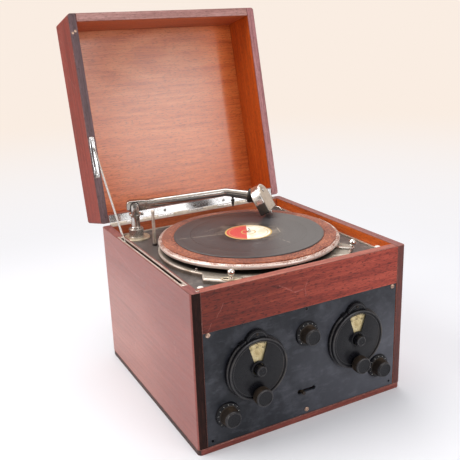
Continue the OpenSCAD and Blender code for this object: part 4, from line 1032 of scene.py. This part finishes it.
def build_motor_plate():
    outline = plate_outline()
    count = len(outline)
    bend = PLATE_TOP - PLATE_EDGE
    curve = [(PLATE_EDGE * (1 - cos(t)), bend + PLATE_EDGE * sin(t)) for t in (0.4, 0.8, 1.2, pi / 2)]
    bm = bmesh.new()
    rings = []
    for inset, z in [(0, BOARD_TOP), (0, bend)] + curve:
        ring = []
        for i, (x, y) in enumerate(outline):
            (ax, ay), (bx, by) = outline[i - 2], outline[(i + 2) % count]
            inward = Vector((-(by - ay), bx - ax)).normalized()
            ring.append(bm.verts.new((x + inward.x * inset, y + inward.y * inset, z)))
        rings.append(ring)
    skin(bm, rings)
    # The rolled bead takes the brighter rail nickel as a painted highlight, and the outer side the darker
    # nickel as painted shade.
    mark(bm, lambda r, z: 1 if z > bend else 2)
    bm.faces.new(rings[-1])
    make("motor_plate_pressed", bm, "cabinet", [PLATE, RAIL, PLATE_SIDE_PAINTED_SHADE], DECK, "motor_plate")

    profile = [(0, -0.5), (2.6, -0.5), (2.6, 0.8, 0.3), (1.7, 1.2), (1.9, 4.0, 0.8), (0, 4.4)]
    pin = lathe(lift(PLATE_TOP, profile), 24)
    make("motor_plate_pin", pin, "cabinet", [NICKEL], shift(*PLATE_PIN, 0))

    diamond = [(-20, 0, 5), (-4, 8.6, 9), (14, 2.5, 6), (17, 0, 3), (14, -2.5, 6), (-4, -8.6, 9)]
    travel = box(-12.5, -2.4, -3.5, 2.4, 2.3)
    place = SPEED @ turn(90, "Z")
    plate = slab(rounded(diamond, True, 6), PLATE_TOP, PLATE_TOP + 1.4, 0.4, [travel])
    make("speed_plate", plate, "cabinet", [AGED], place)
    # A near black sheet on the slot's floor: painted shadow.
    slot_shadow_sheet = slab(travel, PLATE_TOP + 0.02, PLATE_TOP + 0.06)
    make("speed_plate_slot_shadow", slot_shadow_sheet, "cabinet", [SLOT_SHADOW_WOOD], place)


def build_levers():
    angles = [BALL_NECK + (pi - BALL_NECK) * k / 14 for k in range(14)]
    ball = [(BALL_R * sin(t), BALL_Z - BALL_R * cos(t)) for t in angles] + [(0, BALL_Z + BALL_R)]
    stem = [(0, 0.2), (2.1, 0.2), (2.1, 1.4), (3.1, 1.6, 0.3), (3.1, 2.6, 0.4), (2.0, 3.4)]
    speed = lathe(lift(PLATE_TOP, stem) + ball, 40)
    make("speed_ball", speed, "speed_control", [CHROME], SPEED, "speed_lever")

    blade = [(-45, 5.5, 5), (-26, 5.0, 20), (-10, 2.6, 14), (0, 4.4, 4), (5, 0, 4), (0, -4.4, 4),
             (-12, -5.2, 14), (-28, -3.4, 20), (-45, -5.5, 5)]
    brake = slab(blade, PLATE_TOP + 0.4, PLATE_TOP + 2.4, 0.5)
    foot = [(0, 0.5), (3.6, 2.3), (3.4, 3.2, 0.3), (2.1, 3.8)]
    merge(brake, lathe(lift(PLATE_TOP, foot) + ball, 40))
    make("brake_ball", brake, "brake_control", [CHROME], BRAKE, "brake_lever")


def build_turntable():
    rim = arc(PLATTER_ROLL, 90, -90, 12, PLATTER_R - PLATTER_ROLL, PLATTER_TOP - PLATTER_ROLL)
    under = [(PLATTER_INNER_R, PLATTER_LOW), (PLATTER_INNER_R, PLATTER_UNDER), (PLATTER_HUB_R, PLATTER_UNDER),
             (PLATTER_HUB_R, PLATTER_HUB_LOW), (PLATTER_BORE, PLATTER_HUB_LOW)]
    platter = lathe([(PLATTER_BORE, PLATTER_TOP)] + rim + under, 180, closed=True)
    make("platter_turned", platter, "turntable", [RIM], DECK, "platter")

    def ragged(r, z, a):
        return r + 0.35 * sin(a * 7) + 0.25 * sin(a * 23 + 1) if r > 143 else r
    cloth = [(4.7, PLATTER_TOP), (4.7, FELT_TOP, 0.3), (60, FELT_TOP), (100, FELT_TOP), (130, FELT_TOP),
             (FELT_R, FELT_TOP, 1.0), (FELT_R, PLATTER_TOP)]
    make("felt_cloth", lathe(cloth, 240, ragged, True), "turntable", [FELT], DECK, "felt")

    top = [(RECORD_HOLE, -0.1, 0.2), (47, -0.1), (48, -0.02, 0.3), (118, -0.02), (121, 0, 0.6),
           (124.4, 0, 0.8), (RECORD_R, -0.9, 0.5)]
    disc = [(RECORD_HOLE, FELT_TOP), *lift(RECORD_TOP, top), (124.2, FELT_TOP + 0.1, 0.4), (120, FELT_TOP)]
    make("record_pressed", lathe(disc, 240, closed=True), "turntable", [SHELLAC], DECK, "record")
    paper = [(RECORD_HOLE, -0.1), (RECORD_HOLE, 0.05), (LABEL_R - 0.3, 0.05), (LABEL_R, -0.1)]
    label = lathe(lift(RECORD_TOP, paper), 120, closed=True)
    make("record_label", label, "turntable", [LABEL], DECK)
    dress("spindle", "turntable", [NICKEL], 0.3)


def build_deck():
    dress("motor_board", "cabinet", [BOARD], 0.4)
    dress("board_edging", "cabinet", [SATIN], 0.4)
    studs = bmesh.new()
    profile = [(0, 0), (4.2, 0), (4.2, 1.4, 0.5), (2.4, 2.4), (2.2, 8.4), (3.8, 9.6, 0.5), (4.6, 10.4, 0.5),
               (4.6, 11.4, 0.5), (3.6, 12.0, 0.6), (0, 12.0)]
    for x in LIFT_KNOB_XS:
        merge(studs, lathe(lift(BOARD_TOP, profile), 36), shift(x, LIFT_KNOB_Y, 0))
    make("lift_knobs_turned", studs, "cabinet", [IVORY], node="lift_knobs")
    build_motor_plate()
    build_levers()
    build_turntable()


# ---- pick-up arm
def build_arm_base():
    flange = [(6.7, 1), (23.6, 0), (23.6, 2, 0.7), (22.4, 3, 0.7), (12, 3.2)]
    barrel = [(13.6, 2.8), (13.6, 4, 0.4), (13.0, 4.6), (13.0, 17.4, 0.5), (12.0, 19, 0.8), (6.7, 19)]
    base = mark(lathe(lift(BOARD_TOP, flange), 72), lambda r, z: 1)
    merge(base, lathe(lift(BOARD_TOP, barrel), 72))
    for angle in BASE_SCREW_ANGLES:
        spot = turn(angle, "Z") @ shift(BASE_SCREW_R, 0, BOARD_TOP + 3)
        merge(base, screw_head(2.2, 0.9, 0.7, angle * 2), spot, 1)
    make("arm_base_turned", base, "cabinet", [BARREL, AGED], BASE, "arm_base")

    rod = [(0, 0), (4.4, 0), (4.4, 2.6, 0.6), (3.1, 3.6), (2.6, 56.5), (3.1, 58.4, 0.4), (3.1, 61.2, 0.6),
           (2.0, 62, 0.3), (0, 62)]
    rest = mark(lathe(lift(BOARD_TOP, rod), 32), lambda r, z: z < BOARD_TOP + 3.6)
    make("arm_rest_rod", rest, "cabinet", [SATIN, COLLAR], shift(*REST_AT, 0), "arm_rest")

    pillar = [(0, 19.4), (9.4, 19.4), (9.4, 20.6, 0.4), (8.4, 21.6, 0.4), (7.5, 31), (7.7, 40.4, 2),
              (10.2, 42, 0.5), (11.0, 43.8, 0.8), (10.4, 46, 0.6), (0, 46.2)]
    post = lathe(lift(BOARD_TOP, pillar), 64)
    cheek = [(-6.7, -15.5), (6.7, -15.5)] + arc(6.7, 0, 180, 20)
    for low in (7.8, -10.8):
        merge(post, slab(cheek, low, low + 3, 0.5), shift(0, 0, ARM_AT[2]) @ turn(90, "X"))
    thumb = [(0, 8.0), (1.6, 8.0), (1.6, 10.4), (2.9, 10.6, 0.3), (2.9, 14.0, 0.5), (2.2, 14.5, 0.2),
             (0, 14.5)]
    screw = lathe(thumb, 96, ribs(20, 0.25, 10.8, 13.9))
    merge(post, screw, shift(0, 0, BOARD_TOP + THUMB_UP) @ turn(90, "Y"))
    make("arm_pillar_turned", post, "arm_post", [NICKEL], POST, "arm_pillar")

    end = [(2.5, 10.8), (3.7, 10.8), (3.7, 11.5, 0.3), (2.7, 11.7, 0.2), (2.2, 11.2, 0.2), (0, 11.2)]
    pin = lathe([(r, -z, *corner) for r, z, *corner in end[::-1]] + end, 32)
    make("arm_pin_dressed", pin, "arm_post", [STEEL], ARM @ turn(90, "X"), "arm_pin")


def build_arm():
    start, end = BEND - AHEAD * BEND_REACH, BEND + NECK * BEND_REACH
    path, radii = [], []
    for k in range(13):
        path.append(AHEAD * (ARM_START + (BEND.length - BEND_REACH - ARM_START) * k / 12))
        radii.append(8.2 - 1.0 * k / 12)
    for k in range(1, 9):
        t = k / 8
        path.append(start * (1 - t) ** 2 + BEND * 2 * t * (1 - t) + end * t ** 2)
        radii.append(7.2 + 0.2 * t)
    for k in range(1, 5):
        path.append(end + (NECK_END + NECK * 2 - end) * k / 4)
        radii.append(7.4 + 0.9 * k / 4)
    arm = sweep(path, radii)
    knuckle = [(-14.2, -6.4, 2.0), (-14.2, 9.6, 8.5), (11, 9.8, 9), (24, 8.8, 8), (36, 8.9), (36, -5.2),
               (25, -6.2, 8), (12, -9.4, 5), (-7, -9.4, 3)]
    merge(arm, slab(rounded(knuckle, True, 6), -7.35, 7.35, 1.6, segments=3), turn(90, "X"))
    seam = [(7.0, -0.9), (7.7, -0.6, 0.3), (7.7, 0.6, 0.3), (7.0, 0.9)]
    merge(arm, lathe(seam, 40), pointing(BEND, (AHEAD + NECK).normalized()))
    merge(arm, lathe(seam, 40), pointing(AHEAD * SEAM_AT, AHEAD))
    # Thin near black sheets between the knuckle and the post's cheeks: painted shadow in the gaps.
    gap_shadow_sheet = [(-8.2, -9.0), (8.2, -9.0)] + arc(8.2, 0, 180, 20)
    for low in (7.3, -7.42):
        merge(arm, slab(gap_shadow_sheet, low, low + 0.12), turn(90, "X"), 1)
    make("arm_tube_bent", arm, "arm", [ARM_NICKEL_PAINTED_SHADE, COLLAR], ARM, "arm_tube")

    ring = [(0, 0), (8.6, 0), (11.6, 0.4, 0.8), (12.9, 2.0, 1.0), (12.9, 5.6, 0.8), (12.2, 7, 0.4), (0, 7)]
    collar = lathe(ring, 56)
    collar.transform(pointing(NECK_END, NECK))
    stud = [(0, -25.4), (1.2, -25.2, 0.3), (2.5, -17.4, 0.4), (1.9, -16.2), (3.4, -15.4, 0.4),
            (3.4, -12.2, 0.6), (1.8, -11.2), (1.8, -8.6), (2.8, -6.0), (0, -6.0)]
    merge(collar, lathe(stud, 28), shift(*(BEND + NECK * STUD_AT)))
    make("arm_collar_turned", collar, "arm", [COLLAR], ARM, "arm_collar")


def horseshoe(radius, low, corner):
    """Outline of the pick-up head, round above and square below."""
    return arc(radius, 0, 180, 40) + [(-radius, -low, corner), (radius, -low, corner)]


def build_head():
    case = slab(horseshoe(HEAD_R, HEAD_LOW, 2.0), 0, HEAD_T, 0.9, segments=3)
    boss = lathe([(0, 0), (11.4, 0), (11.8, 1.2, 0.6), (12.6, 22), (0, 22)], 56)
    boss.transform(HEAD.inverted() @ ARM @ pointing(NECK_END + NECK * 6.9, NECK))
    cut(boss, (0, 0, 7), UP, clear_outer=True)
    merge(case, boss, material=1)
    make("pickup_case", case, "arm", [CASE, COLLAR], HEAD, "pickup_head")

    face = slab(horseshoe(22.5, HEAD_LOW - 1.5, 1.6), HEAD_T, HEAD_T + FACE_T, 0.45)
    # The face's bevelled rim is bright chrome, a painted highlight, and the flat face a duller nickel.
    for part in face.faces:
        part.material_index = 1 if part.normal.z < 0.98 else 0
    upper, lower = shift(0, 12.5, HEAD_T + FACE_T), shift(0, -6, HEAD_T + FACE_T)
    merge(face, lathe([(4.3, 0), (4.1, 0.2, 0.1), (2.5, 0.2, 0.1), (2.3, 0)], 28), upper, 2)
    merge(face, screw_head(2.6, 1.3, 0.7, 30), upper, 1)
    merge(face, lathe([(3.2, 0), (2.9, 0.35, 0.2), (2.3, 0.35, 0.2), (2.0, 0)], 28), lower)
    make("pickup_face_plate", face, "arm", [FACE, CHROME, COLLAR], HEAD, "pickup_face")

    foot = HEAD @ Vector((0, -HEAD_LOW, NEEDLE_AT))
    tip = -(foot.z - NEEDLE_TIP_Z) / cos(radians(HEAD_TILT))
    shank = [(0, tip), (0.25, tip + 0.6), (0.9, tip + 6), (1.1, -3.2), (2.5, -3.0, 0.3), (2.5, -0.4, 0.3),
             (1.2, 0.3), (0, 3)]
    needle = lathe(shank, 24)
    needle.transform(shift(0, -HEAD_LOW, NEEDLE_AT) @ turn(-90, "X"))
    wire = ((21.9, -24.4, 12.0), (21.7, -26.6, 15.1), (20.4, -28.4, 18.0), (19.1, -30.2, 20.7),
            (18.3, -32.0, 23.2), (17.2, -34.2, 24.8), (15.6, -36.4, 25.7), (13.7, -38.3, 26.4))
    merge(needle, sweep([Vector(at) for at in wire], [1.0] * 7 + [0.7], 14))
    knob = lathe([(0, -1), (2.4, -1), (2.4, 3.2, 0.4), (1.6, 3.8, 0.3), (0, 3.8)], 24)
    merge(needle, knob, shift(HEAD_R, -19, 9) @ turn(90, "Y"))
    make("needle_and_screw", needle, "arm", [NICKEL], HEAD, "needle")


# ---- inside
def build_inside():
    paints = {"chassis": ALUMINIUM, "condensers": ALUMINIUM, "potentiometers": BAKELITE, "valves": GLASS,
              "transformer": STEEL, "motor": STEEL, "terminal_strip": EBONITE}
    for node, paint in paints.items():
        repaint(node, paint)


# ---- stage, light and camera
WARM, COOL = (250, 237, 226), (246, 245, 248)


def build_stage():
    """A pale floor that shows the object's shadow near it and fades into the background."""
    paint = Paint("pale_floor", Roughness=0.8, Specular_IOR_Level=0.1)
    paint.set(Base_Color=paint.noise(3, 2).mix((241, 240, 243), (238, 237, 240)))
    spread = paint.radius()
    glow = paint.node("Emission", {0: spread.rise(0.6, 3.5).ramp((0.0, COOL), (1.0, WARM)), "Strength": 1.0})
    share = spread.rise(0.36, 1.1, 0.15) * paint.seen_rays()
    paint.blend("Material Output", share, Value(paint, paint.shader.outputs[0]), glow)
    bm = bmesh.new()
    bmesh.ops.create_circle(bm, cap_ends=True, segments=96, radius=14.0)
    mesh = bpy.data.meshes.new("pale_floor")
    bm.to_mesh(mesh)
    bm.free()
    mesh.materials.append(paint.material)
    floor = show("pale_floor", mesh)


def build_world():
    """Warm white where it is seen, darker low in front where metal mirrors it, soft light for the rest."""
    world = bpy.data.worlds.new("studio")
    bpy.context.scene.world = world
    world.use_nodes = True
    nodes = Nodes(world.node_tree)
    way = nodes.node("TexCoord", output="Generated")
    front = nodes.node("SeparateXYZ", {0: way}, 1).rise(-0.1, -0.6)
    low = nodes.node("SeparateXYZ", {0: way}, 2).rise(0.7, 0.35)
    mirrored = front * low * nodes.node("LightPath", output="Is Glossy Ray")
    seen = nodes.node("Background", {0: mirrored.mix(WARM, (104, 100, 98)), "Strength": 1.0})
    soft = nodes.node("Background", {0: (0.95, 0.97, 1.0, 1.0), "Strength": 0.5})
    nodes.blend("World Output", nodes.seen_rays(), soft, seen)


def build_lamps():
    for name, (at, towards, size, power, colour) in LAMPS.items():
        data = bpy.data.lights.new(name, "AREA")
        data.shape = "RECTANGLE"
        data.size, data.size_y = size
        data.energy = power
        data.color = colour
        light = show(name, data)
        light.location = at
        light.rotation_euler = (Vector(towards) - Vector(at)).to_track_quat("-Z", "Y").to_euler()


def aim_camera():
    """Puts the camera at the photograph's viewing angle."""
    spin, rise, roll = radians(CAMERA_SPIN), radians(CAMERA_LIFT), radians(CAMERA_ROLL)
    back = Vector((sin(spin) * cos(rise), -cos(spin) * cos(rise), sin(rise)))
    right = (-back).cross(Vector(UP)).normalized()
    above = right.cross(-back)
    side = right * cos(roll) + above * sin(roll)
    top = above * cos(roll) - right * sin(roll)
    data = bpy.data.cameras.new("camera")
    data.sensor_width, data.sensor_fit = 36.0, "HORIZONTAL"
    data.lens = CAMERA_LENS
    camera = show("camera", data)
    spot = Matrix((side, top, back)).transposed().to_4x4()
    spot.translation = CAMERA_AT
    camera.matrix_world = spot
    bpy.context.scene.camera = camera
    bpy.context.scene.view_settings.view_transform = "Standard"


aim_camera()
build_stage()
build_world()
build_lamps()
build_cabinet()
build_lid()
build_stay()
build_panel()
build_deck()
build_arm_base()
build_arm()
build_head()
build_inside()
